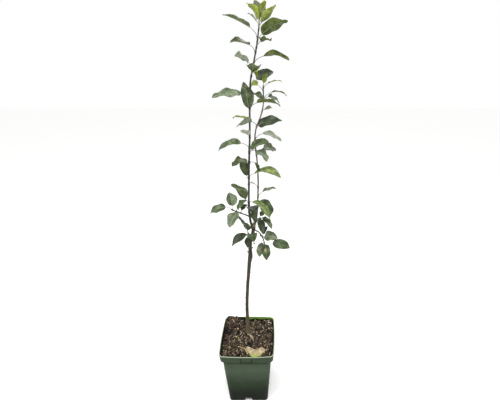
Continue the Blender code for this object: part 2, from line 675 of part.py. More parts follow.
def main():
    parts, cutters = reset_scene()
    plastic = finish("green_plastic", (0.045, 0.075, 0.045), 0.45)
    peat = finish("bark_mix", (0.06, 0.045, 0.03), 0.95)
    bark = finish("bark", (0.075, 0.06, 0.04), 0.8)
    foliage = finish("leaves", (0.10, 0.17, 0.04), 0.6)
    dry = finish("dry_leaf", (0.55, 0.45, 0.27), 0.8)

    make_pot(parts, cutters, plastic)
    make_potting_mix(parts, cutters, peat)
    make_fallen_leaf(parts, dry)
    make_trunk(parts, bark)

    leader, second = line_points(LEADER), line_points(SECOND_STEM)
    left, right = line_points(LEFT_BOUGH), line_points(RIGHT_BOUGH)
    trunk_spur, crotch_spur = line_points(TRUNK_SPUR), line_points(CROTCH_SPUR)
    trunk = line_points(TRUNK)
    lines = (trunk, leader, second, left, right)
    tube("leader", stretch(leader, 0.0, LEADER_CUTS[0] - GAP), parts, 2, bark)
    tube("second_stem", stretch(second, 0.0, SECOND_CUTS[0] - GAP), parts, 2, bark)
    tube("left_bough", stretch(left, 0.0, LEFT_CUT - GAP), parts, 2, bark)
    tube("right_bough", stretch(right, 0.0, RIGHT_CUT - GAP), parts, 2, bark)

    taken = []
    for shoot, line, cuts, tables in (
        ("leader", leader, LEADER_CUTS, (LEADER_LOW, LEADER_MIDDLE, LEADER_UPPER, LEADER_TOP)),
        ("second_stem", second, SECOND_CUTS, (SECOND_LOW, SECOND_MIDDLE, SECOND_TOP)),
        ("left", left, (LEFT_CUT,), (LEFT_LEAVES,)),
        ("right", right, (RIGHT_CUT,), (RIGHT_LEAVES,)),
        ("trunk_spur", trunk_spur, (0.0,), (TRUNK_SPUR_LEAVES,)),
        ("crotch_spur", crotch_spur, (0.0,), (CROTCH_LEAVES,)),
    ):
        ends = [cut_at - GAP for cut_at in cuts[1:]] + [line_lengths(line)[-1]]
        places = ("low", "middle", "upper", "top") if len(cuts) == 4 else ("low", "middle", "top")
        for index, (start, end, table) in enumerate(zip(cuts, ends, tables)):
            name = f"{shoot}_{places[index]}_foliage" if len(cuts) > 1 else f"{shoot}_foliage"
            others = [other for other in lines if other is not line]
            make_mass(name, stretch(line, start, end), table, start, others, taken, parts, foliage)


main()
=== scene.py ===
import math
import random
from collections import namedtuple

import bpy
from mathutils import Matrix, Vector, noise


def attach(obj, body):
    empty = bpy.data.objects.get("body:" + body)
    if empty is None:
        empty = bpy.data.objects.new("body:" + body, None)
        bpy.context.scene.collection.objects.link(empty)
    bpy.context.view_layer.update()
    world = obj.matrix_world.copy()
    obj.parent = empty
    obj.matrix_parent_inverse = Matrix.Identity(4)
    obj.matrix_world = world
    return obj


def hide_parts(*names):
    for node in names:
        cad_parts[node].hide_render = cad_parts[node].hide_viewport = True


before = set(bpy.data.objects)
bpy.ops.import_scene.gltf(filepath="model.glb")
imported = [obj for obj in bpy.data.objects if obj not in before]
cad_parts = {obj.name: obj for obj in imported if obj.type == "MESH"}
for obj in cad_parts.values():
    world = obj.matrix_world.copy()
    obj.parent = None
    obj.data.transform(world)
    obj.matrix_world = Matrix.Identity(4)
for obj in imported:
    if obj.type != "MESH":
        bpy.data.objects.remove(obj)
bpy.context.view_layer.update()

MM = 0.001
bpy.ops.object.select_all(action="DESELECT")


# Studio: a pale floor under broad soft light. The camera stands a little lower than the top of the
# tree, is tilted down to the pot, and its wide lens shows the pot's taper strongly.

def linear(hex_colour):
    """The linear colour of an sRGB hex value."""
    parts = [int(hex_colour[i:i + 2], 16) / 255.0 for i in (1, 3, 5)]
    return [p / 12.92 if p <= 0.04045 else ((p + 0.055) / 1.055) ** 2.4 for p in parts] + [1.0]


def node(tree, kind, inputs=None, stops=(), **settings):
    """Adds a shader node. An input takes a number, a hex colour, the node that feeds it, or a pair
    of that node and its output's name. Stops are the places and colours along a colour ramp. A
    mix is of two colours."""
    made = tree.nodes.new("ShaderNode" + kind)
    if kind == "Mix":
        made.data_type = "RGBA"
    for name, value in settings.items():
        setattr(made, name, value)
    for key, value in (inputs or {}).items():
        pair = isinstance(value, tuple) and isinstance(value[0], bpy.types.Node)
        giver = value[0] if pair else value
        if isinstance(giver, bpy.types.Node):
            output = giver.outputs[value[1]] if pair else next(o for o in giver.outputs if o.enabled)
            tree.links.new(output, made.inputs[key])
        else:
            made.inputs[key].default_value = linear(value) if isinstance(value, str) else value
    for place, colour in stops[2:]:
        made.color_ramp.elements.new(place)
    for element, (place, colour) in zip(made.color_ramp.elements if stops else (), stops):
        element.position = place
        element.color = linear(colour)
    return made


def new_material(name):
    """An empty material and its node tree."""
    made = bpy.data.materials.new(name)
    made.use_nodes = True
    made.node_tree.nodes.clear()
    return made, made.node_tree


# A colour mix takes its factor and its two colours at these inputs.
SHARE, FIRST, SECOND = 0, 6, 7

CAMERA_PLACE = (0.0783, -0.738, 0.953)
CAMERA_TILT = 23.45
CAMERA_LENS = 24.0
PHOTO_WIDTH = 500.0
PHOTO_AXIS_X = 274.8

camera_data = bpy.data.cameras.new("camera")
camera_data.lens = CAMERA_LENS
camera_data.clip_start = 0.02
camera_data.shift_x = 0.5 - PHOTO_AXIS_X / PHOTO_WIDTH
camera = bpy.data.objects.new("camera", camera_data)
camera.location = CAMERA_PLACE
camera.rotation_euler = (math.radians(90.0 - CAMERA_TILT), 0.0, 0.0)
bpy.context.scene.collection.objects.link(camera)
bpy.context.scene.camera = camera
bpy.context.scene.view_settings.view_transform = "Standard"

bpy.ops.mesh.primitive_plane_add(size=12.0)
floor = bpy.context.object
floor.name = "studio_floor"
floor_paint, tree = new_material("pale_matt_paint")
paint = node(tree, "BsdfPrincipled", {"Base Color": "#fcfcfb", "Roughness": 0.9})
node(tree, "OutputMaterial", {"Surface": paint})
floor.data.materials.append(floor_paint)

world = bpy.data.worlds.new("soft_studio")
world.use_nodes = True
world.node_tree.nodes["Background"].inputs["Color"].default_value = linear("#ffffff")
world.node_tree.nodes["Background"].inputs["Strength"].default_value = 1.0
bpy.context.scene.world = world

# Each soft box: name, place, what it faces, its size and its power.
SOFT_BOXES = (
    ("key_box", (-0.55, -0.55, 1.6), (0, 0, 0.7), 0.5, 11),
    ("top_box", (0.3, -0.9, 2.2), (0, 0, 0.2), 0.9, 14),
    ("rim_box", (0.5, 0.8, 1.7), (0, 0, 0.7), 0.5, 5),
)
for name, place, aim, size, power in SOFT_BOXES:
    lamp = bpy.data.lights.new(name, "AREA")
    lamp.size = size
    lamp.energy = power
    box = bpy.data.objects.new(name, lamp)
    box.location = place
    box.rotation_euler = (Vector(aim) - Vector(place)).to_track_quat("-Z", "Y").to_euler()
    bpy.context.scene.collection.objects.link(box)


# Pot: a 15 cm square deep nursery pot, injection moulded in dark green polypropylene. A wide collar
# stands out over a shoulder, the lip is rolled, and each side has a label panel and a drain notch.

POT_HEIGHT = 200.0
RIM_HALF = 76.0
RIM_BOW = 2.2
BOW_FROM = 60.0
BASE_HALF = 57.2
WALL = 1.6
BASE_CORNER = 10.0
CORNER_FACETS = 10
SIDE_CUTS = 14
SIDES = 4

# The side from the foot up over the lip and down inside: half width and height of each ring.
POT_RINGS = (
    (56.6, 0.2), (57.1, 0.7), (57.3, 1.6), (59.6, 38), (62.6, 86), (65.6, 132), (67.6, 168),
    (67.8, 173), (68.1, 174.6), (68.8, 175.2), (72.4, 175.5), (73.2, 175.9), (73.8, 176.8),
    (74, 178.6), (74.4, 184), (74.9, 190), (75.3, 195.6), (75.4, 196.6), (75.8, 197),
    (76, 197.7), (76, 198.9), (75.7, 199.6), (75.1, 200), (74.3, 200), (73.8, 199.6),
    (73.6, 198.6), (73.3, 190), (72.4, 179.6), (71.8, 177.8), (67.2, 176.6), (66.4, 174),
    (64, 132), (61, 86), (58, 38), (55.7, 2.8), (54.9, WALL),
)


def select_only(*pieces):
    """Selects some pieces, the first of them active."""
    bpy.ops.object.select_all(action="DESELECT")
    for piece in pieces:
        piece.select_set(True)
    bpy.context.view_layer.objects.active = pieces[0]


def finish_piece(piece, name, material=None, nodes=(), smooth=60.0):
    """Names a finished mesh, puts its place into the mesh, and lets it ride on the one body."""
    piece.name = name
    piece.data.name = name
    if material:
        piece.data.materials.clear()
        piece.data.materials.append(material)
    select_only(piece)
    bpy.ops.object.transform_apply()
    bpy.ops.object.shade_smooth_by_angle(angle=math.radians(smooth))
    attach(piece, "root")
    if nodes:
        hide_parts(*nodes)
    return piece


bpy.ops.mesh.primitive_plane_add(size=2.0 * (BASE_HALF - 1.2) * MM)
pot = bpy.context.object
bpy.ops.object.mode_set(mode="EDIT")
bpy.ops.mesh.select_all(action="SELECT")
bpy.ops.mesh.bevel(offset=(BASE_CORNER - 1.2) * MM, segments=CORNER_FACETS, affect="VERTICES")
bpy.ops.mesh.select_all(action="DESELECT")
bpy.ops.object.mode_set(mode="OBJECT")
for edge in pot.data.edges:
    start, end = (pot.data.vertices[i].co for i in edge.vertices)
    edge.select = (start - end).length > BASE_CORNER * 2.0 * MM
bpy.ops.object.mode_set(mode="EDIT")
bpy.ops.mesh.select_mode(type="EDGE")
bpy.ops.mesh.subdivide(number_cuts=SIDE_CUTS)
bpy.ops.mesh.select_all(action="DESELECT")
bpy.ops.mesh.select_non_manifold()
half, height = BASE_HALF - 1.2, 0.0
for next_half, next_height in POT_RINGS:
    rise = (0.0, 0.0, (next_height - height) * MM)
    bpy.ops.mesh.extrude_edges_move(TRANSFORM_OT_translate={"value": rise})
    share = next_half / half
    bpy.ops.transform.resize(value=(share, share, 1.0), center_override=(0.0, 0.0, next_height * MM))
    half, height = next_half, next_height
bpy.ops.mesh.edge_face_add()
bpy.ops.mesh.select_all(action="SELECT")
bpy.ops.mesh.normals_make_consistent()
bpy.ops.object.mode_set(mode="OBJECT")

# The upper sides stand out a little in the middle, as a filled pot's do.
for vert in pot.data.vertices:
    reach, across = sorted((abs(vert.co.x), abs(vert.co.y)), reverse=True)
    rise = max(0.0, vert.co.z / MM - BOW_FROM) / (POT_HEIGHT - BOW_FROM)
    bow = RIM_BOW * MM * rise ** 1.5 * max(0.0, 1.0 - (across / (0.85 * reach)) ** 2)
    if abs(vert.co.x) > abs(vert.co.y):
        vert.co.x += math.copysign(bow, vert.co.x)
    else:
        vert.co.y += math.copysign(bow, vert.co.y)


def block_between(low, high, top_share=1.0, rounding=0.0):
    """A box between two corners in millimetres, narrower across its top, with rounded edges."""
    middle = [(a + b) / 2.0 * MM for a, b in zip(low, high)]
    bpy.ops.mesh.primitive_cube_add(size=1.0, location=middle)
    block = bpy.context.object
    block.scale = [(b - a) * MM for a, b in zip(low, high)]
    bpy.ops.object.transform_apply()
    for vert in block.data.vertices:
        vert.co.x *= top_share if vert.co.z > middle[2] else 1.0
    if rounding:
        edges = block.modifiers.new("rounding", "BEVEL")
        edges.width = rounding * MM
        edges.segments = 4
        bpy.ops.object.modifier_apply(modifier="rounding")
    return block


def join(pieces):
    """Joins a list of meshes into the first one."""
    select_only(*pieces)
    bpy.ops.object.join()
    return pieces[0]


def copy_of(piece, change):
    """A copy of a piece with its own mesh, moved by a matrix."""
    twin = bpy.data.objects.new(piece.name, piece.data.copy())
    twin.data.transform(change)
    bpy.context.scene.collection.objects.link(twin)
    return twin


def shape_all_sides(target, tool, operation):
    """Cuts or adds a shape made at the front, on all four sides of the pot at once."""
    turns = [Matrix.Rotation(side * math.tau / SIDES, 4, "Z") for side in range(1, SIDES)]
    tool = join([tool] + [copy_of(tool, turn) for turn in turns])
    knife = target.modifiers.new(operation, "BOOLEAN")
    knife.object = tool
    knife.operation = operation
    knife.solver = "EXACT"
    select_only(target)
    bpy.ops.object.modifier_apply(modifier=operation)
    bpy.data.objects.remove(tool, do_unlink=True)


# A hood roofs each notch inside the pot. Then the notch and the drain hole above it are cut.
FOOT = -BASE_HALF
NOTCH_HEIGHT = 12.5
HOOD = ((-13.5, FOOT + 0.8, 0.8), (13.5, FOOT + 14.5, 14.0))
NOTCH = ((-12.2, FOOT - 4.0, -4.0), (12.2, FOOT + 13.0, NOTCH_HEIGHT))
HOLE_RADIUS = 3.5
HOLE_IN = 7.0
shape_all_sides(pot, block_between(*HOOD, 0.9, 1.0), "UNION")
shape_all_sides(pot, block_between(*NOTCH, 0.8, 1.6), "DIFFERENCE")
bpy.ops.mesh.primitive_cylinder_add(
    vertices=28, radius=HOLE_RADIUS * MM, depth=8.0 * MM,
    location=(0.0, (FOOT + HOLE_IN) * MM, NOTCH_HEIGHT * MM),
)
bpy.ops.object.transform_apply()
shape_all_sides(pot, bpy.context.object, "DIFFERENCE")

# The collar's outer face leans out by its draft between two heights.
COLLAR_LOW, COLLAR_HIGH = 178.6, 195.6
COLLAR_HALF = 74.0
COLLAR_DRAFT = 1.3
# The label panel and the groove at each end of it: the ends of the cut across the side, its depth,
# and the rounding of its edges.
PANEL_LOW, PANEL_HIGH = 177.0, 195.0
COLLAR_CUTS = ((-15.1, 15.1, 0.5, 0.4), (-16.7, -13.5, 1.2, 0.0), (13.5, 16.7, 1.2, 0.0))
for start, end, depth, rounding in COLLAR_CUTS:
    tool = block_between((start, -84.0, PANEL_LOW), (end, -77.0, PANEL_HIGH), 1.0, rounding)
    for vert in tool.data.vertices:
        height = vert.co.z / MM
        share = (height - COLLAR_LOW) / (COLLAR_HIGH - COLLAR_LOW)
        bow = RIM_BOW * ((height - BOW_FROM) / (POT_HEIGHT - BOW_FROM)) ** 1.5
        if vert.co.y > -80.0 * MM:
            vert.co.y = -(COLLAR_HALF + COLLAR_DRAFT * share + bow - depth) * MM
    shape_all_sides(pot, tool, "DIFFERENCE")


def coat(tree, height, strength, depth, colour, roughness, gloss, sheen=0.0, invert=False):
    """Ends a material: the colour, roughness and gloss of its surface, over a relief from heights,
    which has a strength and a depth in metres."""
    relief = node(tree, "Bump", {"Height": height, "Strength": strength, "Distance": depth}, invert=invert)
    skin = node(
        tree, "BsdfPrincipled",
        {
            "Base Color": colour, "Roughness": roughness, "Specular IOR Level": gloss,
            "Sheen Weight": sheen, "Normal": relief,
        },
    )
    node(tree, "OutputMaterial", {"Surface": skin})


# The inside of the wall is marked point by point for a painted glow, most at the back, which gets the
# light.
inside = pot.data.attributes.new("inside", "FLOAT", "POINT")
for vert, mark in zip(pot.data.vertices, inside.data):
    faces_in = vert.normal.x * vert.co.x + vert.normal.y * vert.co.y < -0.3 * RIM_HALF * MM
    if faces_in and vert.co.z > 0.16:
        mark.value = 1.0 if vert.co.y > 60.0 * MM else 0.25

# Moulded polypropylene: satin and faintly mottled by the mould, with specks of dust. Painted shade darkens
# it towards the foot, under the collar and in its corners, a painted highlight runs along the lip, and a
# painted glow of brighter green lights the inside of the thin wall.
pot_plastic, tree = new_material("moulded_green_polypropylene")
spot = (node(tree, "TexCoord"), "Object")
place_on = node(tree, "SeparateXYZ", {0: spot})
mottle = node(tree, "TexNoise", {"Vector": spot, "Scale": 34.0, "Detail": 4.0})
dust = node(tree, "TexNoise", {"Vector": spot, "Scale": 230.0, "Detail": 6.0, "Roughness": 0.7})
rise = node(tree, "MapRange", {"Value": (place_on, "Z"), "From Max": POT_HEIGHT * MM})
# The colour by height is painted shade: near black at the foot, lightest high on the body, with a painted
# shadow band under the collar.
body = node(
    tree, "ValToRGB", {"Fac": rise},
    (
        (0.0, "#080f04"), (0.16, "#0c1607"), (0.42, "#273523"), (0.66, "#435040"), (0.80, "#414e3d"),
        (0.85, "#232e1e"), (0.875, "#10170d"), (0.885, "#354230"), (1.0, "#3a4733"),
    ),
)
clouded = node(tree, "Mix", {SHARE: mottle, FIRST: body, SECOND: "#cdd2c8"}, blend_type="MULTIPLY")
# A painted highlight along the top of the lip.
rim = node(tree, "MapRange", {"Value": (place_on, "Z"), "From Min": 0.1982, "From Max": 0.1998})
lip_highlight = node(tree, "Mix", {SHARE: rim, FIRST: clouded, SECOND: "#98a18e"})
specks = node(tree, "MapRange", {"Value": dust, "From Min": 0.60, "From Max": 0.74, "To Max": 0.22})
dusty = node(tree, "Mix", {SHARE: specks, FIRST: lip_highlight, SECOND: "#5d5b49"})
# The painted glow on the inside of the wall.
lit_wall = node(tree, "Attribute", attribute_name="inside")
glowing = node(tree, "Mix", {SHARE: (lit_wall, "Fac"), FIRST: dusty, SECOND: "#6a8c40"})
# Painted shade: near black where the ambient occlusion finds corners and recesses.
corner = node(tree, "AmbientOcclusion", {"Distance": 0.006}, samples=8)
corner_shade = node(
    tree, "MapRange",
    {"Value": (corner, "AO"), "From Min": 0.66, "From Max": 0.97, "To Min": 1.0, "To Max": 0.0},
)
shaded_in_corners = node(tree, "Mix", {SHARE: corner_shade, FIRST: glowing, SECOND: "#0b0f08"})
worn = node(tree, "MapRange", {"Value": mottle, "To Min": 0.42, "To Max": 0.56})
grain = node(tree, "TexNoise", {"Vector": spot, "Scale": 900.0})
coat(tree, grain, 0.15, 0.0002, shaded_in_corners, worn, 0.07)
finish_piece(pot, "moulded_pot", pot_plastic, ["pot"], 35.0)


# Potting mix: composted bark and peat, damp and dark, with dry fibres, chips of wood and a few
# white grains. It is level round the trunk and heaped up to the rim at the back left.

GROUND = 189.0
HEAP_HEIGHT = 18.0
HEAP_AT = (-53.0, 60.0)
HEAP_REACH = 38.0
LUMP = 3.2
LUMP_SIZE = 17.0
LUMP_SLICE = 4.0
LEVEL_RING = 20.0
LOOSE_RING = 15.0
TRUNK_FOOT = (-3.2, 28.0)
MIX_HALF = 72.6
MIX_CORNER = 10.0
MIX_GRID = 220
CRUMB_RISE = 7.4
PIT_AT = (7.0, -21.0)
PIT_REACH = 7.0


def ground_height(x, y):
    away = math.hypot(x - TRUNK_FOOT[0], y - TRUNK_FOOT[1])
    loose = min(1.0, max(0.0, (away - LEVEL_RING) / LOOSE_RING))
    heap = math.hypot(x - HEAP_AT[0], y - HEAP_AT[1]) / HEAP_REACH
    lump = LUMP * noise.noise(Vector((x, y, LUMP_SLICE)) / LUMP_SIZE)
    return GROUND + loose * (lump + HEAP_HEIGHT * max(0.0, 1.0 - heap * heap))


def crumb_share(x, y):
    """How high the crumbs stand, as a share: rounded clumps of two sizes with clefts between."""
    coarse = noise.voronoi(Vector((x, y, 0.0)) / 10.5)[0]
    small = noise.voronoi(Vector((x + 40.0, y, 5.0)) / 3.6)[0]
    grain = noise.noise(Vector((x, y, 2.0)) / 1.6)
    clump = max(0.0, 1.0 - (coarse[0] / 0.72) ** 2)
    share = 0.58 * clump + 0.34 * max(0.0, 1.0 - (small[0] / 0.7) ** 2) + 0.16 * grain
    away = math.hypot(x - PIT_AT[0], y - PIT_AT[1]) / PIT_REACH
    return share - 1.1 * math.exp(-away * away)


def crumb_height(x, y):
    """The loose crumbs on top of the ground, lower round the trunk."""
    calm = min(1.0, math.hypot(x - TRUNK_FOOT[0], y - TRUNK_FOOT[1]) / 26.0)
    return ground_height(x, y) - 1.2 + CRUMB_RISE * crumb_share(x, y) * (0.3 + 0.7 * calm)


def on_square(x, y, half, corner):
    """Moves a point of the unit square onto a square with round corners."""
    out = Vector((x * half, y * half))
    inner = half - corner
    over = Vector((max(0.0, abs(out.x) - inner), max(0.0, abs(out.y) - inner)))
    if over.x > 0.0 and over.y > 0.0:
        over = over.normalized() * max(over)
        out = Vector((math.copysign(inner + over.x, out.x), math.copysign(inner + over.y, out.y)))
    return out


bpy.ops.mesh.primitive_grid_add(x_subdivisions=MIX_GRID, y_subdivisions=MIX_GRID, size=2.0)
mix = bpy.context.object
# Each point keeps how high its crumb stands, for the painted shade in the clefts.
crumb_top = mix.data.attributes.new("crumb_top", "FLOAT", "POINT")
for vert, mark in zip(mix.data.vertices, crumb_top.data):
    at = on_square(vert.co.x, vert.co.y, MIX_HALF, MIX_CORNER)
    mark.value = crumb_share(at.x, at.y)
    edge_drop = max(0.0, max(abs(vert.co.x), abs(vert.co.y)) - 0.97) * 60.0
    vert.co = Vector((at.x, at.y, crumb_height(at.x, at.y) - edge_drop)) * MM
bpy.ops.object.mode_set(mode="EDIT")
bpy.ops.mesh.select_all(action="SELECT")
bpy.ops.mesh.region_to_loop()
bpy.ops.mesh.extrude_edges_move(TRANSFORM_OT_translate={"value": (0.0, 0.0, -0.012)})
bpy.ops.object.mode_set(mode="OBJECT")

# Damp bark and peat crumbs, brown on top with paler dry grains, and painted shade that turns them nearly
# black in the clefts.
damp_mix, tree = new_material("damp_bark_and_peat")
spot = (node(tree, "TexCoord"), "Object")
grains = node(tree, "TexVoronoi", {"Vector": spot, "Scale": 420.0})
clumps = node(tree, "TexNoise", {"Vector": spot, "Scale": 190.0, "Detail": 8.0, "Roughness": 0.72})
patches = node(tree, "TexNoise", {"Vector": spot, "Scale": 60.0, "Detail": 2.0})
earth = node(
    tree, "ValToRGB", {"Fac": clumps},
    ((0.36, "#040303"), (0.48, "#17110e"), (0.58, "#40342a"), (0.69, "#b3a084")),
)
dry = node(
    tree, "ValToRGB", {"Fac": (grains, "Color")},
    ((0.0, "#090706"), (0.5, "#291f19"), (0.8, "#7a6954"), (1.0, "#e4d4b4")),
)
drier = node(
    tree, "MapRange", {"Value": patches, "From Min": 0.4, "From Max": 0.62, "To Min": 0.15, "To Max": 0.6}
)
crumbs = node(tree, "Mix", {SHARE: drier, FIRST: earth, SECOND: dry})
standing = node(tree, "Attribute", attribute_name="crumb_top")
# Painted shade in the clefts between the crumbs.
cleft_shade = node(
    tree, "MapRange",
    {"Value": (standing, "Fac"), "From Min": 0.12, "From Max": 0.5, "To Min": 0.92, "To Max": 0.0},
)
shaded = node(tree, "Mix", {SHARE: cleft_shade, FIRST: crumbs, SECOND: "#040303"})
coat(tree, clumps, 0.9, 0.0014, shaded, 0.9, 0.2)
finish_piece(mix, "potting_mix_surface", damp_mix)
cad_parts["potting_mix"].data.materials.clear()
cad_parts["potting_mix"].data.materials.append(damp_mix)


def make_chip(length, width, thickness, seed):
    """One splinter of bark: a rough pebble drawn out, with broken corners."""
    bpy.ops.mesh.primitive_ico_sphere_add(subdivisions=2, radius=0.5)
    chip = bpy.context.object
    chance = random.Random(seed)
    for vert in chip.data.vertices:
        blunt = Vector([math.copysign(abs(c * 2.0) ** 0.7 / 2.0, c) for c in vert.co])
        rough = 1.0 + chance.uniform(-0.18, 0.18)
        vert.co = Vector((blunt.x * length, blunt.y * width, blunt.z * thickness)) * rough * MM
    return chip


def scatter(pieces, count, seed, sizes, margin, lift, tilt):
    """Copies of a few pieces strewn over the mix, each turned and tilted, joined as one mesh."""
    chance = random.Random(seed)
    copies = []
    while len(copies) < count:
        x, y = chance.uniform(-margin, margin), chance.uniform(-margin, margin)
        in_corner = min(abs(x), abs(y)) > margin - 9.0
        if in_corner or math.hypot(x - TRUNK_FOOT[0], y - TRUNK_FOOT[1]) < 9.0:
            continue
        turned = (
            Matrix.Translation(Vector((x, y, crumb_height(x, y) + lift)) * MM)
            @ Matrix.Rotation(chance.uniform(0.0, math.tau), 4, "Z")
            @ Matrix.Rotation(math.radians(chance.gauss(0.0, tilt)), 4, "Y")
            @ Matrix.Rotation(math.radians(chance.gauss(0.0, tilt * 1.6)), 4, "X")
            @ Matrix.Scale(chance.uniform(*sizes), 4)
        )
        copies.append(copy_of(pieces[len(copies) % len(pieces)], turned))
    for piece in pieces:
        bpy.data.objects.remove(piece, do_unlink=True)
    return join(copies)


def fibrous(name, pale, dark, scale, roughness=0.85):
    """Dry plant matter: streaks from dark to pale, with the same streaks as relief."""
    made, tree = new_material(name)
    spot = (node(tree, "TexCoord"), "Object")
    streak = node(tree, "TexNoise", {"Vector": spot, "Scale": scale, "Detail": 5.0})
    tone = node(tree, "ValToRGB", {"Fac": streak}, ((0.36, dark), (0.62, pale)))
    coat(tree, streak, 0.5, 0.0005, tone, roughness, 0.3)
    return made


bark_chips = [
    make_chip(8.0, 3.8, 2.0, 1), make_chip(5.5, 3.2, 1.8, 2), make_chip(10.5, 2.8, 1.6, 3),
    make_chip(4.4, 3.6, 2.2, 4),
]
# Bark chips are damp and almost black, wood chips dry and pale.
dark_chips = scatter(bark_chips, 420, 11, (0.5, 1.4), 68.0, -0.2, 18.0)
chip_bark = fibrous("damp_bark_chips", "#43362b", "#0b0807", 170.0)
finish_piece(dark_chips, "bark_chips", chip_bark, (), 50.0)

wood_chips = [make_chip(6.5, 2.6, 1.3, 5), make_chip(4.6, 3.2, 1.5, 6), make_chip(10.5, 2.1, 1.1, 7)]
pale_chips = scatter(wood_chips, 250, 12, (0.5, 1.25), 69.0, 0.4, 18.0)
chip_wood = fibrous("dry_wood_chips", "#b5a288", "#5c4b3a", 240.0)
finish_piece(pale_chips, "wood_chips", chip_wood, (), 50.0)


def lay(piece, x, y):
    """Lays a piece on the mix at a place."""
    piece.data.transform(Matrix.Translation(Vector((x, y, crumb_height(x, y) + 1.0)) * MM))
    return piece


# Dull white grains of perlite, strewn and, where larger, laid one by one.
grains = [make_chip(3.2, 2.6, 2.2, 8), make_chip(2.2, 2.0, 1.8, 9)]
few_grains = scatter(grains, 7, 13, (0.5, 1.0), 66.0, 0.3, 30.0)
LARGE_GRAINS = ((-48.5, 51, 3.4), (60, 61, 4.4), (66, 60, 3.2), (-12, 63, 3), (31, 8, 2.6))
large_grains = [
    lay(make_chip(length, 0.8 * length, 0.7 * length, seed), x, y)
    for seed, (x, y, length) in enumerate(LARGE_GRAINS, 20)
]
perlite = fibrous("perlite_grains", "#efece4", "#c4beb0", 500.0)
finish_piece(join([few_grains] + large_grains), "white_grains", perlite)

# Pellets of plant feed have a smooth coating of yellow green.
PELLETS = ((-33, 1), (-28, -4), (50, -20), (12, 52), (-50, -38))
pellets = [lay(make_chip(3.6, 3.4, 3.2, seed), x, y) for seed, (x, y) in enumerate(PELLETS, 30)]
coating = fibrous("coated_feed_pellets", "#b3b56c", "#7f8446", 400.0, 0.5)
finish_piece(join(pellets), "feed_pellets", coating)


def bar_along(rows, resolution=2):
    """A round bar through rows of x, y, z and radius in millimetres, closed at both ends."""
    bpy.ops.object.select_all(action="DESELECT")
    bpy.ops.curve.primitive_nurbs_path_add()
    guide = bpy.context.object
    guide.data.splines.clear()
    spline = guide.data.splines.new("POLY")
    spline.points.add(len(rows) - 1)
    for point, row in zip(spline.points, rows):
        point.co = (row[0] * MM, row[1] * MM, row[2] * MM, 1.0)
        point.radius = row[3]
    guide.data.dimensions = "3D"
    guide.data.bevel_depth = MM
    guide.data.bevel_resolution = resolution
    guide.data.use_fill_caps = True
    bpy.ops.object.convert(target="MESH")
    bpy.ops.object.mode_set(mode="EDIT")
    bpy.ops.mesh.select_all(action="SELECT")
    bpy.ops.mesh.remove_doubles(threshold=0.005 * MM)
    bpy.ops.mesh.normals_make_consistent()
    bpy.ops.object.mode_set(mode="OBJECT")
    return bpy.context.object


# Each dry fibre: its length, radius and how far it curls.
FIBRES = ((16, 0.32, 1.9), (11, 0.26, 0.8), (22, 0.36, 1.3), (8, 0.30, 2.2), (14, 0.5, 1.1))
fibres = []
for length, radius, curl in FIBRES:
    rows = []
    for step in range(9):
        swing = curl * (step / 4.0 - 1.0)
        rows.append((
            length * math.sin(swing) / max(1.0, curl) / 2.0, length * (1.0 - math.cos(swing)) * 0.3,
            1.3 * math.sin(math.pi * step / 8.0), radius * (1.0 - 0.5 * abs(step / 4.0 - 1.0)),
        ))
    fibres.append(bar_along(rows, 1))
loose_fibres = scatter(fibres, 280, 21, (0.5, 1.2), 65.0, 0.4, 12.0)
plant_fibre = fibrous("dry_plant_fibre", "#9d8767", "#4d3e2c", 200.0)
finish_piece(loose_fibres, "loose_fibres", plant_fibre)

# A bent dead twig, dry and grey, lies in front of the trunk: x, y, lift over the mix and radius.
TWIG = (
    (-2, 10, 2.6, 1.6), (3, 5.5, 4.6, 2.8), (8.5, 0, 5.6, 3), (13.5, -6, 4.6, 2.7), (16.5, -12, 1.6, 1.3),
)
dead_twig = bar_along([(x, y, crumb_height(x, y) + lift, radius) for x, y, lift, radius in TWIG], 3)
twig_bark = fibrous("dead_twig_bark", "#9d9178", "#5d5343", 260.0)
finish_piece(dead_twig, "dead_twig", twig_bark)


# Fallen leaf: one of the tree's own, dried to cream and pale ochre and still green in front. It
# lies by the front rim with its stalk, folded along the midrib, its back half standing up.

# One row for each place along its bent midrib: x, y, half width to the back and to the front, and
# the lift of the back margin and of the midrib.
FALLEN_LEAF = (
    (-5, -44, 1, 1, 2.5, 2.2), (0, -48, 7.5, 6, 9.5, 3.6),
    (7, -52, 8.5, 9.5, 9, 4.2), (15, -55, 7.2, 11, 7, 4.6),
    (23, -56.5, 7, 10.8, 7, 5), (30, -57, 8.5, 10.5, 9, 5),
    (36, -56.5, 10.5, 10.2, 11.5, 5.2), (41.5, -55.5, 10.5, 8.5, 11.5, 5.6),
    (46.5, -54.5, 8, 4.5, 8.5, 6), (51, -53.5, 4.5, 1.5, 6, 6.2),
)
# Its stalk: x, y, lift over the mix and radius.
FALLEN_STALK = (
    (-27.5, -32, 1.2, 0.9), (-20, -36, 2.2, 0.8), (-13, -40, 2.6, 0.7),
    (-6, -44, 2.8, 0.65), (0, -48.6, 4.2, 0.55), (6, -52, 4.6, 0.4),
)
FALLEN_LIFT = 2.2
FALLEN_GRID = 72
FALLEN_COLUMNS = 28


def row_at(table, place):
    """The values at a place between two rows of a table, on a smooth curve through its rows."""
    index = min(int(place), len(table) - 2)
    t = place - index
    start, end = Vector(table[index]), Vector(table[index + 1])
    before = Vector(table[index - 1]) if index else start * 2.0 - end
    after = Vector(table[index + 2]) if index + 2 < len(table) else end * 2.0 - start
    return 0.5 * (
        2.0 * start + (end - before) * t
        + (2.0 * before - 5.0 * start + 4.0 * end - after) * t * t
        + (3.0 * start - before - 3.0 * end + after) * t ** 3
    )


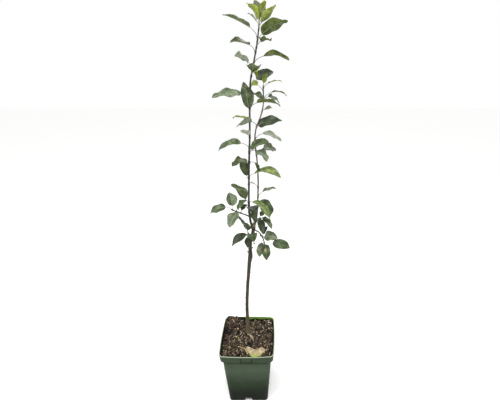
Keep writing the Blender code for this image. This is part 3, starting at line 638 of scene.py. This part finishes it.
bpy.ops.mesh.primitive_grid_add(
    x_subdivisions=FALLEN_COLUMNS, y_subdivisions=FALLEN_GRID, size=2.0, calc_uvs=True
)
fallen = bpy.context.object
for vert in fallen.data.vertices:
    across = -vert.co.x
    along = (vert.co.y + 1.0) / 2.0
    x, y, back, front, back_lift, rib_lift = row_at(FALLEN_LEAF, along * (len(FALLEN_LEAF) - 1))
    edge = abs(across)
    torn = 1.0 + edge * 0.2 * noise.noise(Vector((along * 9.0, 3.0 * across, 0.0)))
    torn += 0.035 * (edge > 0.98) * (round(along * FALLEN_GRID) % 3 == 1)
    reach = (back if across > 0.0 else -front) * edge * torn
    margin_lift = back_lift if across > 0.0 else 0.4 * math.sin(along * 21.0)
    crinkle = 0.9 * noise.noise(Vector((x, y + reach, 0.0)) / 5.0) * min(1.0, 2.0 * edge)
    lift = FALLEN_LIFT + rib_lift + (margin_lift - rib_lift) * edge ** 1.2 + crinkle
    vert.co = Vector((x + reach * 0.12, y + reach, ground_height(x, y + reach) + lift)) * MM
shell = fallen.modifiers.new("thickness", "SOLIDIFY")
shell.thickness = 0.35 * MM
shell.offset = 0.0
bpy.ops.object.modifier_apply(modifier="thickness")


def vein_lines(tree, place_on, pairs, slope, vein_width, vein_depth, rib_width, rib_fade):
    """The side veins and the midrib of a blade as lines from 0 to 1, drawn on its UV map."""
    off_rib = node(tree, "Math", {0: (place_on, "X"), 1: 0.5}, operation="SUBTRACT")
    from_rib = node(tree, "Math", {0: off_rib}, operation="ABSOLUTE")
    rising = node(tree, "Math", {0: (place_on, "Y"), 1: pairs}, operation="MULTIPLY")
    slant = node(tree, "Math", {0: from_rib, 1: slope}, operation="MULTIPLY")
    phase = node(tree, "Math", {0: rising, 1: slant}, operation="SUBTRACT")
    saw = node(tree, "Math", {0: phase, 1: 0.5}, operation="PINGPONG")
    vein = node(
        tree, "MapRange", {"Value": saw, "From Max": vein_width, "To Min": vein_depth, "To Max": 0.0}
    )
    rib = node(
        tree, "MapRange",
        {"Value": from_rib, "From Min": rib_width, "From Max": rib_fade, "To Min": 1.0, "To Max": 0.0},
    )
    return node(tree, "Math", {0: vein, 1: rib}, operation="MAXIMUM")


# Dried leaf: cream with ochre blotches and raised veins, and what is left of the green in front.
dry_leaf, tree = new_material("dried_leaf")
spot = (node(tree, "TexCoord"), "Object")
place_on = node(tree, "SeparateXYZ", {0: (spot[0], "UV")})
lines = vein_lines(tree, place_on, 8.0, 3.4, 0.09, 1.0, 0.008, 0.03)
blotch = node(tree, "TexNoise", {"Vector": spot, "Scale": 85.0, "Detail": 6.0})
straw = node(tree, "ValToRGB", {"Fac": blotch}, ((0.34, "#75634a"), (0.5, "#97866a"), (0.66, "#b6a784")))
front_half = node(tree, "MapRange", {"Value": (place_on, "X"), "From Min": 0.56, "From Max": 0.9})
green_part = node(tree, "MapRange", {"Value": blotch, "From Min": 0.36, "From Max": 0.56})
patch = node(tree, "Math", {0: front_half, 1: green_part}, operation="MULTIPLY")
tinted = node(tree, "Mix", {SHARE: patch, FIRST: straw, SECOND: "#95a048"})
faint = node(tree, "Math", {0: lines, 1: 0.4}, operation="MULTIPLY")
veined = node(tree, "Mix", {SHARE: faint, FIRST: tinted, SECOND: "#d2c69f"})
coat(tree, lines, 0.6, 0.0004, veined, 0.75, 0.3)
stalk_rows = [
    (x, y, ground_height(x, y) + FALLEN_LIFT + lift, radius) for x, y, lift, radius in FALLEN_STALK
]
fallen_stalk = bar_along(stalk_rows, 3)
stalk_straw = fibrous("dry_leaf_stalk", "#d8c79a", "#a89262", 150.0)
finish_piece(fallen_stalk, "fallen_leaf_stalk", stalk_straw, (), 40.0)
finish_piece(fallen, "fallen_leaf_blade", dry_leaf, ["fallen_leaf"])


# Trunk: two year old apple wood on a grafted rootstock, olive brown and smooth, with corky flecks,
# a swollen union at 45 cm where the cut snags have healed, and a few dormant buds.

# A limb is a line of knots: x, y, z and radius.
TRUNK = (
    (-3.2, 28, 189.3, 8.6), (-3.2, 28, 194, 6.6), (-3, 28, 206, 5.5),
    (-2.7, 28, 245, 5), (-2.2, 28, 290, 4.6), (1.3, 28, 350, 4.6),
    (6.3, 28, 405, 4.8), (9.3, 28, 436, 5.4), (12.1, 28.5, 453, 6.3),
    (12.5, 29, 468, 5.4), (12.5, 29, 486, 4.6), (16.5, 28, 512, 4.2),
    (21.3, 27, 531, 4.3), (22.7, 27, 539, 5.2), (22.8, 27, 543, 5.4),
    (22.9, 27, 546.5, 4.6), (23.1, 27, 549, 3.2), (23.2, 27, 550.6, 1.2),
)
# Healed snags and buds: height, heading, length, radius and rise.
TRUNK_STUBS = (
    (464, 190, 10.5, 1.7, 35), (477, 10, 9.5, 1.6, 30), (313, 185, 6.6, 1.4, 30),
    (366, 170, 6.6, 1.4, 30), (400, 355, 6.8, 1.4, 30), (443, 250, 7.2, 1.6, 20),
    (286, 60, 6.4, 1.3, 25),
)
# A stub's width from its foot to its healed end, as shares of its length and radius.
STUB_SHAPE = ((0.0, 2.0), (0.3, 1.7), (0.5, 1.35), (0.68, 1.05), (0.86, 0.9), (0.96, 0.7), (1.0, 0.3))


def line_points(knots, gap):
    """A smooth line through knots, with a point about every gap: x, y, z and radius."""
    line = []
    for index, (start, end) in enumerate(zip(knots, knots[1:])):
        steps = max(1, round((Vector(end) - Vector(start)).length / gap))
        line += [row_at(knots, index + step / steps) for step in range(steps)]
    return line + [Vector(knots[-1])]


def heading_vector(heading, rise):
    turn, lift = math.radians(heading), math.radians(rise)
    return Vector((math.cos(turn) * math.cos(lift), math.sin(turn) * math.cos(lift), math.sin(lift)))


def roughen(piece, ridge, fleck, seed):
    """Long shallow ridges and small raised flecks, pushed out along each point's normal."""
    for vert in piece.data.vertices:
        at = vert.co / MM
        ridges = noise.noise(Vector((at.x / 2.2, at.y / 2.2, at.z / 19.0 + seed)))
        flecks = noise.noise(Vector((at.x / 3.1, at.y / 3.1, at.z / 2.1 + seed)))
        vert.co += vert.normal * (ridge * ridges + fleck * max(0.0, flecks - 0.25)) * MM


trunk_line = line_points(TRUNK, 1.6)
trunk = bar_along(trunk_line, 10)
roughen(trunk, 0.35, 1.0, 0.0)
trunk_pieces = [trunk]
for height, heading, length, radius, rise in TRUNK_STUBS:
    foot = min(trunk_line, key=lambda row: abs(row.z - height)).xyz
    tip = foot + heading_vector(heading, rise) * length
    rows = [(*foot.lerp(tip, share), radius * width) for share, width in STUB_SHAPE]
    stub = bar_along(rows, 5)
    roughen(stub, 0.3, 0.8, height)
    trunk_pieces.append(stub)


def bark(name, pale, mid, dark, grey, fleck, grain_scale, wool_from=2.0):
    """Young smooth bark: streaks along the stem, weathered grey patches and small corky flecks.
    Its foot is splashed with dry mix, and above a height in metres it is hidden in pale wool."""
    made, tree = new_material(name)
    spot = (node(tree, "TexCoord"), "Object")
    drawn = node(tree, "Mapping", {"Vector": spot, "Scale": (1.0, 1.0, 0.16)})
    streak = node(
        tree, "TexNoise",
        {"Vector": drawn, "Scale": grain_scale, "Detail": 6.0, "Roughness": 0.65},
    )
    tone = node(tree, "ValToRGB", {"Fac": streak}, ((0.32, dark), (0.5, mid), (0.68, pale)))
    weather = node(tree, "TexNoise", {"Vector": spot, "Scale": 70.0, "Detail": 5.0})
    worn = node(tree, "MapRange", {"Value": weather, "From Min": 0.5, "From Max": 0.7, "To Max": 0.6})
    greyed = node(tree, "Mix", {SHARE: worn, FIRST: tone, SECOND: grey})
    flat = node(tree, "Mapping", {"Vector": spot, "Scale": (1.0, 1.0, 1.9)})
    cork = node(tree, "TexVoronoi", {"Vector": flat, "Scale": 260.0})
    dots = node(
        tree, "MapRange",
        {"Value": (cork, "Distance"), "From Min": 0.14, "From Max": 0.22, "To Min": 0.7, "To Max": 0.0},
    )
    flecked = node(tree, "Mix", {SHARE: dots, FIRST: greyed, SECOND: fleck})
    place_on = node(tree, "SeparateXYZ", {0: spot})
    wool = node(
        tree, "MapRange",
        {"Value": (place_on, "Z"), "From Min": wool_from, "From Max": wool_from + 0.012, "To Max": 0.85},
    )
    splash = node(
        tree, "MapRange",
        {"Value": (place_on, "Z"), "From Min": 0.215, "From Max": 0.275, "To Min": 0.6, "To Max": 0.0},
    )
    muddy = node(tree, "Mix", {SHARE: splash, FIRST: flecked, SECOND: "#756a54"})
    downy = node(tree, "Mix", {SHARE: wool, FIRST: muddy, SECOND: "#a5a49e"})
    height = node(tree, "Math", {0: streak, 1: dots}, operation="ADD")
    coat(tree, height, 0.6, 0.0006, downy, 0.62, 0.35)
    return made


trunk_bark = bark("young_apple_bark", "#3f3726", "#272115", "#13100a", "#494230", "#625842", 330.0)
finish_piece(join(trunk_pieces), "trunk_bark", trunk_bark, ["trunk"])

# Pale callus has closed the fork between the two shoots.
CALLUS = ((23, 26.6, 545, 4.2), (23.1, 26.4, 551, 3.6), (23.3, 26.2, 556, 2.5), (23.4, 26, 559.5, 0.6))
callus = bar_along(line_points(CALLUS, 1.0), 8)
roughen(callus, 0.4, 0.8, 7.0)
finish_piece(callus, "fork_callus", fibrous("fork_callus", "#8f8669", "#5f573f", 300.0))


# Shoots: this and last year's growth from the top of the trunk. The leader and its spurs are dark
# grey and downy at the tip, the second stem is paler, the hanging bough olive. Each carries a small
# pointed bud above every leaf stalk, and one at its tip.

LEADER = (
    (19.7, 26.4, 544, 3.2), (18.9, 26, 551, 3.1), (16.1, 25, 562, 3),
    (13.5, 22.5, 604, 2.7), (15.8, 20, 680, 2.4), (18.6, 20, 742, 2.3),
    (21.1, 21, 787, 2.1), (22.5, 22, 844, 2), (25.3, 24, 898, 1.9),
    (32.9, 26, 936, 1.8), (41.3, 28, 976, 1.6), (47.8, 28, 1021, 1.1),
)
SECOND_STEM = (
    (26.2, 27.4, 543.9, 2.5), (26.7, 27.6, 550, 2.5), (30.8, 28, 569, 2.4),
    (33.8, 28, 594, 2.2), (36.3, 28, 635, 2), (37.7, 28, 674, 1.9),
    (35.9, 28, 725, 1.8), (32.3, 27, 768, 1.7), (35.1, 28, 798, 1.6),
    (47.7, 29, 831, 1.5), (53.1, 30, 858, 1.4), (52.7, 30, 891, 1.1),
)
LEFT_BOUGH = (
    (10.6, 22.9, 579, 1.7), (4.3, 22, 582.5, 1.7), (-13.7, 20, 590.5, 1.5),
    (-28.7, 18, 598, 1.3),
)
RIGHT_BOUGH = (
    (27.6, 26, 536, 1.7), (37.3, 23, 531.5, 1.6), (45.3, 21, 520, 1.5),
    (50.3, 19.5, 505, 1.4), (53.3, 18.5, 483, 1.2),
)
TRUNK_SPUR = ((15.7, 22.6, 522.5, 1.8), (12.8, 20, 525.5, 1.7), (9.8, 17.5, 531, 1.4))
CROTCH_SPUR = ((35.3, 26.2, 568.5, 1.6), (38.8, 24.5, 569.5, 1.5), (42.3, 23, 572, 1.3))

# A leaf: its tint, its place along the shoot, the way it points, its rise, stalk, blade length and
# width, its roll about its midrib, and how far it bends from base to tip.
Leaf = namedtuple("Leaf", "tint at heading rise stalk length width roll bend", defaults=(0, 30))

# A leaf's tint grey or pale is a painted sheen, dark is painted shade and olive is painted light from
# behind.
LEAVES = {
    "leader_low_foliage": (
        ("dark", 57, 292, 2, 10, 46, 36), ("olive", 64, 142, 30, 18, 58, 34, 0, 40),
        ("spring", 72, 312, -22, 20, 70, 28, 10, 50), ("olive", 122, 126, 54, 22, 46, 28),
        ("spring", 139, 331, 0, 22, 76, 31, -14, 72), ("olive", 177, 330, -62, 17, 24, 13),
        ("olive", 178, 226, -3, 8, 46, 29, 14, 36), ("green", 46, 322, -62, 6, 32, 22),
    ),
    "leader_middle_foliage": (
        ("green", 206, 334, 24, 8, 50, 34, -34, 26), ("grey", 201, 322, -30, 23, 40, 32, 0, 36),
        ("green", 213, 186, -18, 23, 56, 29, 20, 50), ("pale", 237, 238, 26, 8, 34, 20, -20, 40),
        ("lime", 272, 152, 0, 10, 40, 12, 8), ("dark", 281, 260, 62, 25, 64, 31, 0, 20),
        ("olive", 300, 336, -3, 24, 58, 30, 20, 34),
    ),
    "leader_upper_foliage": (
        ("grey", 317, 200, -3, 26, 63, 30, 32, 18), ("green", 326, 58, -26, 13, 40, 28),
        ("dark", 341, 32, 19, 27, 46, 31, -38), ("olive", 369, 286, 14, 16, 45, 32, 6, 34),
        ("lime", 380, 300, -44, 8, 20, 13), ("grey", 384, 140, 15, 19, 42, 32, -40),
        ("olive", 394, 14, -8, 26, 60, 22, 30, 52),
    ),
    "leader_top_foliage": (
        ("olive", 417, 218, 7, 21, 46, 30, 20, 20), ("olive", 427, 318, 2, 17, 30, 24, 10),
        ("olive", 438, 336, 21, 18, 62, 34, 36, 34), ("olive", 444, 165, 23, 27, 63, 27, 10, 14),
        ("lime", 460, 322, 37, 15, 48, 18, 24, 16), ("pale", 466, 150, 36, 13, 25, 12),
        ("lime", 472, 210, 50, 9, 36, 28), ("lime", 475, 310, 57, 8, 33, 27),
        ("grey", 474, 240, 64, 8, 34, 27, 0, 40),
    ),
    "second_stem_low_foliage": (
        ("green", 73, 2, -58, 4, 55, 35, -58, 50), ("grey", 85, 32, 2, 18, 42, 19),
        ("pale", 111, 164, 6, 13, 16, 10),
    ),
    "second_stem_middle_foliage": (
        ("grey", 194, 42, -18, 25, 45, 25, -48), ("pale", 232, 28, -27, 24, 54, 25, -30, 40),
        ("dark", 261, 346, 13, 5, 58, 34, -36, 22), ("grey", 263, 222, -8, 19, 44, 28, -44, 36),
    ),
    "second_stem_top_foliage": (
        ("pale", 297, 332, 16, 4, 25, 18, -20), ("green", 321, 40, -24, 16, 37, 20, -36),
        ("olive", 325, 26, -14, 23, 42, 12, 0, 60), ("lime", 340, 144, 0, 21, 24, 22, 34),
        ("lime", 345, 36, 4, 18, 39, 8, 0, 34), ("lime", 349, 300, 56, 10, 24, 11, 20),
    ),
    "left_foliage": (
        ("dark", 21, 40, 34, 7, 22, 18), ("grey", 28, 242, -40, 6, 44, 34, 0, 40),
        ("green", 33, 350, 46, 8, 36, 26, -30), ("grey", 41, 116, 56, 12, 35, 33),
        ("green", 42, 188, -20, 20, 44, 25, 34),
    ),
    "right_foliage": (
        ("dark", 27, 50, 46, 8, 24, 16), ("grey", 29, 340, 3, 6, 38, 30, -42, 40),
        ("grey", 43, 240, -60, 7, 38, 24), ("green", 46, 284, -62, 7, 42, 26),
        ("green", 60, 6, -18, 23, 51, 31, -38, 34),
    ),
    "trunk_spur_foliage": (
        ("green", 4, 286, -2, 13, 38, 30), ("dark", 5, 258, -74, 11, 30, 18),
        ("dark", 7, 207, -33, 8, 51, 28, 12, 40), ("dark", 11, 240, 62, 12, 34, 28),
        ("dark", 12, 140, 33, 22, 38, 15, -20),
    ),
    "crotch_spur_foliage": (
        ("dark", 3, 288, -44, 6, 40, 22), ("olive", 5, 340, -12, 5, 28, 16),
        ("grey", 7, 326, -36, 8, 38, 20), ("olive", 2, 30, 30, 8, 30, 22),
    ),
}
LEAVES = {mass: [Leaf(*row) for row in rows] for mass, rows in LEAVES.items()}

# Each shoot: its name, its line, the knot by which it is rooted in the limb that bears it, the CAD
# nodes of its bare foot, and the CAD nodes of the masses along it.
SHOOTS = (
    ("leader", LEADER, (20.9, 26.6, 539.5, 3.4), ["leader"],
     ["leader_low_foliage", "leader_middle_foliage", "leader_upper_foliage", "leader_top_foliage"]),
    ("second_stem", SECOND_STEM, (24.9, 27.2, 539.5, 2.8), ["second_stem"],
     ["second_stem_low_foliage", "second_stem_middle_foliage", "second_stem_top_foliage"]),
    ("left_bough", LEFT_BOUGH, (14.5, 23.7, 576.6, 2.3), ["left_bough"], ["left_foliage"]),
    ("right_bough", RIGHT_BOUGH, (22.7, 27, 537.5, 2.4), ["right_bough"], ["right_foliage"]),
    ("trunk_spur", TRUNK_SPUR, (19.3, 26.8, 519, 2.5), [], ["trunk_spur_foliage"]),
    ("crotch_spur", CROTCH_SPUR, (31.5, 27.8, 567, 2.2), [], ["crotch_spur_foliage"]),
)
LEAF_LINE_GAP = 9.0


def line_lengths(line):
    lengths = [0.0]
    for start, end in zip(line, line[1:]):
        lengths.append(lengths[-1] + (end.xyz - start.xyz).length)
    return lengths


def point_at(line, distance):
    lengths = line_lengths(line)
    for index in range(1, len(line)):
        if distance <= lengths[index] or index == len(line) - 1:
            share = (distance - lengths[index - 1]) / (lengths[index] - lengths[index - 1])
            return line[index - 1].lerp(line[index], share)


def make_bud(foot, way, length, radius):
    """A small pointed bud."""
    shape = ((-0.2, 0.7), (0.1, 1.0), (0.35, 1.0), (0.65, 0.66), (0.88, 0.3), (1.0, 0.1))
    return bar_along([(*(foot + way * length * share), radius * width) for share, width in shape], 3)


shoot_barks = {
    "leader": bark("leader_bark", "#413c38", "#292624", "#161413", "#54504c", "#6a665f", 420.0, 1.004),
    "second_stem": bark("second_stem_bark", "#6f6b5c", "#4d4a3f", "#2c2a24", "#7d7a6e", "#8e8a7c", 420.0),
    "right_bough": bark("hanging_bough_bark", "#5a5a33", "#3c3d24", "#211f18", "#6a6851", "#7f7c66", 420.0),
}
for shoot_name, knots, rooted, feet, masses in SHOOTS:
    coarse = line_points(knots, LEAF_LINE_GAP)
    line = line_points(knots, 1.8)
    shoot_leaves = [leaf for mass in masses for leaf in LEAVES[mass]]
    swollen = [Vector(rooted)]
    for row, distance in zip(line, line_lengths(line)):
        swell = sum(0.32 * math.exp(-((distance - leaf.at) / 2.2) ** 2) for leaf in shoot_leaves)
        swollen.append(Vector((*row.xyz, row.w * (1.0 + min(0.4, swell)))))
    shoot = bar_along(swollen, 6)
    roughen(shoot, 0.16, 0.5, 3.0)
    pieces = [shoot]
    for leaf in shoot_leaves:
        foot = point_at(coarse, leaf.at)
        out = heading_vector(leaf.heading, 0.0) * foot.w * 0.9 + Vector((0.0, 0.0, 1.6))
        pieces.append(make_bud(foot.xyz + out, heading_vector(leaf.heading, 62.0), 3.4, 1.0))
    end_way = (line[-1].xyz - line[-3].xyz).normalized()
    pieces.append(make_bud(line[-1].xyz, end_way, 3.6, line[-1].w * 1.25))
    shoot_bark = shoot_barks.get(shoot_name, shoot_barks["leader"])
    finish_piece(join(pieces), shoot_name + "_shoot", shoot_bark, feet)

# Withered bud stalks that were never shed, each with a shrunken black tip: foot, tip and length.
WITHERED = (
    ((15, 25, 489), (23, 24, 497), 6), ((31.5, 24.6, 533), (31.2, 22, 529), 4.6),
    ((48, 18.8, 513), (42, 18, 500), 5.6), ((39, 21, 529), (41, 18, 525.5), 4.2),
)
withered = []
for foot, tip, length in WITHERED:
    foot, tip = Vector(foot), Vector(tip)
    way = (tip - foot).normalized()
    withered.append(bar_along([(*foot, 0.7), (*foot.lerp(tip, 0.5), 0.5), (*tip, 0.6)], 2))
    shrunken = make_bud(tip, way, length, 1.6)
    roughen(shrunken, 0.5, 0.9, length)
    withered.append(shrunken)
withered_skin = fibrous("withered_buds", "#2b241c", "#0e0b09", 300.0)
finish_piece(join(withered), "withered_buds", withered_skin)


# Leaves: ovate apple leaves with a fine toothed edge, folded along a pale midrib and waved at the
# margin, smooth and dark above, pale and downy below, each on a thin stalk.

BLADE_THICK = 0.34
BLADE_ROWS = 60
BLADE_COLUMNS = 10
BLADE_PEAK = 0.78
BLADE_ROUND = 0.74
BLADE_TAPER = 0.18
TOOTH = 0.7
# One leaf of the right bough has a dried spot: its place along and across the blade, and its size.
DRY_SPOTS = {("right_foliage", 3): (0.36, 0.1, 0.13)}
# The side veins of a blade: pairs in its length, and how far they run forward to the margin.
VEIN_PAIRS = 9.0
VEIN_SLOPE = 1.9
VEIN_HEIGHT = 0.16
STALK_RADIUS = 0.72
RIB_RADIUS = 0.42


def blade_share(along):
    """The blade's half width along its length, as a share of the widest: rounded, with a point."""
    if not 0.0 < along < 1.0:
        return 0.0
    return math.sin(math.pi * along ** BLADE_PEAK) ** BLADE_ROUND * (1.0 - BLADE_TAPER * along)


def leaf_nature(mass, index):
    """The small seeded differences of one leaf: sway of the stalk, twist and fold of the blade."""
    chance = random.Random(f"{mass} {index}")
    return chance.uniform(-8.0, 8.0), chance.uniform(-14.0, 14.0), chance.uniform(10.0, 26.0)


def blade_rows(leaf, nature, start):
    """The blade from its base, where the stalk ends, to its tip: midrib point, side, upper face and
    half width at each row."""
    sway, twist, _ = nature
    rows = []
    point = start + heading_vector(leaf.heading, 40.0 + leaf.rise / 2.0) * leaf.stalk
    for index in range(BLADE_ROWS + 1):
        along = index / BLADE_ROWS
        forward = heading_vector(leaf.heading + sway * (along - 0.3), leaf.rise + leaf.bend * (0.5 - along))
        side = forward.cross(Vector((0.0, 0.0, 1.0))).normalized()
        side = Matrix.Rotation(-math.radians(leaf.roll + twist * (along - 0.5)), 3, forward) @ side
        rows.append((point.copy(), side, side.cross(forward), leaf.width / 2.0 * blade_share(along)))
        point += forward * leaf.length / BLADE_ROWS
    return rows


def grow_blade(mass, index, leaf, nature, rows):
    """One blade: a grid shaped row by row, then given its thickness and its paler underside."""
    fold = math.radians(nature[2])
    chance = random.Random(f"margin {mass} {index}")
    waves, phase = chance.uniform(1.2, 2.2), chance.uniform(0.0, math.tau)
    wave_height = leaf.width * chance.uniform(0.04, 0.09)
    tip_curl = chance.uniform(-0.5, 1.6)
    bpy.ops.mesh.primitive_grid_add(
        x_subdivisions=BLADE_COLUMNS, y_subdivisions=BLADE_ROWS, size=2.0, calc_uvs=True
    )
    blade = bpy.context.object
    dry = blade.data.attributes.new("dry", "FLOAT", "POINT")
    spot_along, spot_across, spot_size = DRY_SPOTS.get((mass, index), (0.0, 0.0, 0.0))
    for vert, mark in zip(blade.data.vertices, dry.data):
        across, row = vert.co.x, round((vert.co.y + 1.0) / 2.0 * BLADE_ROWS)
        along, reach = row / BLADE_ROWS, abs(across)
        if spot_size:
            away = math.hypot(along - spot_along, 0.4 * (across - spot_across)) / spot_size
            mark.value = max(0.0, min(0.8, 1.8 * (1.0 - away)))
        point, side, face, half = rows[row]
        if reach > 0.98 and 0.06 < along < 0.97:
            half += TOOTH if row % 2 else -0.3 * TOOTH
        half = max(half, 0.25)
        cup = fold * (0.55 + 0.45 * reach)
        margin = wave_height * reach ** 2 * math.sin(waves * math.tau * along + phase + across * 1.2)
        vein_phase = VEIN_PAIRS * along - VEIN_SLOPE * reach
        vein = VEIN_HEIGHT * math.sin(math.tau * vein_phase) * min(1.0, 3.0 * reach)
        ripple = 0.9 * reach * noise.noise(Vector((along * 7.0, across * 2.0, index * 1.7)))
        droop = -0.9 * tip_curl * leaf.length * max(0.0, along - 0.78) ** 2
        out = math.cos(cup) * half * across
        lift = math.sin(cup) * half * reach + margin + vein + ripple + droop
        vert.co = (point + side * out + face * lift) * MM
    shell = blade.modifiers.new("thickness", "SOLIDIFY")
    shell.thickness = BLADE_THICK * MM
    shell.offset = -1.0
    shell.material_offset = 1
    for skin in leaf_skins[leaf.tint]:
        blade.data.materials.append(skin)
    bpy.ops.object.modifier_apply(modifier="thickness")
    return blade


def grow_stalk(leaf, nature, start, rows):
    """The stalk from the shoot to the blade, running on under the blade as its midrib."""
    root = rows[0][0]
    bow = start + heading_vector(leaf.heading - nature[0], 55.0 + leaf.rise / 2.0) * leaf.stalk * 0.55
    knots = [
        (*start, STALK_RADIUS * 1.9), (*start.lerp(bow, 0.35), STALK_RADIUS * 1.15),
        (*start.lerp(bow, 0.8), STALK_RADIUS), (*bow.lerp(root, 0.5), STALK_RADIUS * 0.92),
        (*root, STALK_RADIUS * 0.85),
    ]
    for row in range(6, 47, 8):
        point, _, face, _ = rows[row]
        knots.append((*(point - face * 0.45), RIB_RADIUS * (1.25 - row / BLADE_ROWS)))
    return bar_along(line_points(knots, 2.4), 2)


def leaf_skin(name, blade, deep, light, roughness, gloss, sheen, strength, invert):
    """One side of a living leaf: soft patches of colour, paler ribs and fine vein relief."""
    made, tree = new_material(name)
    spot = (node(tree, "TexCoord"), "Object")
    place_on = node(tree, "SeparateXYZ", {0: (spot[0], "UV")})
    lines = vein_lines(tree, place_on, VEIN_PAIRS, 2.0 * VEIN_SLOPE, 0.085, 0.5, 0.010, 0.036)
    patch = node(tree, "TexNoise", {"Vector": spot, "Scale": 85.0, "Detail": 4.0, "Roughness": 0.6})
    base = node(tree, "ValToRGB", {"Fac": patch}, ((0.36, deep), (0.52, blade), (0.7, light)))
    cells = node(tree, "TexVoronoi", {"Vector": spot, "Scale": 900.0}, feature="DISTANCE_TO_EDGE")
    net = node(
        tree, "MapRange",
        {"Value": (cells, "Distance"), "From Max": 0.12, "To Min": 0.2, "To Max": 0.0},
    )
    netted = node(tree, "Mix", {SHARE: net, FIRST: base, SECOND: light})
    veined = node(tree, "Mix", {SHARE: lines, FIRST: netted, SECOND: light})
    dry_spot = node(tree, "Attribute", attribute_name="dry")
    spotted = node(tree, "Mix", {SHARE: (dry_spot, "Fac"), FIRST: veined, SECOND: "#b9a382"})
    height = node(tree, "Math", {0: lines, 1: net}, operation="ADD")
    coat(tree, height, strength, 0.0004, spotted, roughness, gloss, sheen, invert)
    return made


# Each tint's upper side and underside: the blade, its deeper patches, and its pale ones and ribs. Lime,
# spring and green are the leaves' own greens, and on the thin lime leaf of the leader's middle lime is also
# a painted sunlit edge. Grey and pale are a painted sheen, dark is painted shade, and olive is painted
# light shining through from behind.
TINTS = {
    "lime": (("#727f1e", "#58661a", "#949f4a"), ("#7d8b2a", "#616f20", "#9ea75c")),
    "spring": (("#4d5f24", "#313f1c", "#848e52"), ("#697a34", "#4c5c28", "#949e66")),
    "olive": (("#32401a", "#1e2a12", "#565f36"), ("#4a591e", "#2f3d14", "#6e7644")),
    "green": (("#34451f", "#1d2a14", "#636f4c"), ("#57643c", "#3d4a2a", "#848b6c")),
    "dark": (("#222f17", "#10190d", "#454f34"), ("#3a4827", "#222e19", "#676f52")),
    "grey": (("#4f5c40", "#323e2a", "#7f886e"), ("#757f66", "#566048", "#989f8a")),
    "pale": (("#869078", "#687360", "#a9b09a"), ("#a1a894", "#868f7a", "#bbc0b0")),
}
# The upper face is smooth with sunken veins. The underside is downy, and its veins stand out.
leaf_skins = {}
for tint, (above, below) in TINTS.items():
    leaf_skins[tint] = (
        leaf_skin(f"{tint}_leaf_face", *above, 0.42, 0.34, 0.0, 0.4, True),
        leaf_skin(f"{tint}_leaf_underside", *below, 0.72, 0.15, 0.15, 0.55, False),
    )
# Leaf stalks are grey with down.
stalk_skin = fibrous("downy_leaf_stalk", "#8c8b82", "#66645c", 120.0, 0.7)

for _, knots, _, _, masses in SHOOTS:
    line = line_points(knots, LEAF_LINE_GAP)
    for mass in masses:
        blades, stalks = [], []
        for index, leaf in enumerate(LEAVES[mass]):
            nature = leaf_nature(mass, index)
            start = point_at(line, leaf.at).xyz
            rows = blade_rows(leaf, nature, start)
            stalks.append(grow_stalk(leaf, nature, start, rows))
            blades.append(grow_blade(mass, index, leaf, nature, rows))
        finish_piece(join(stalks), mass.replace("foliage", "stalks"), stalk_skin)
        finish_piece(join(blades), mass.replace("foliage", "leaves"), None, [mass])
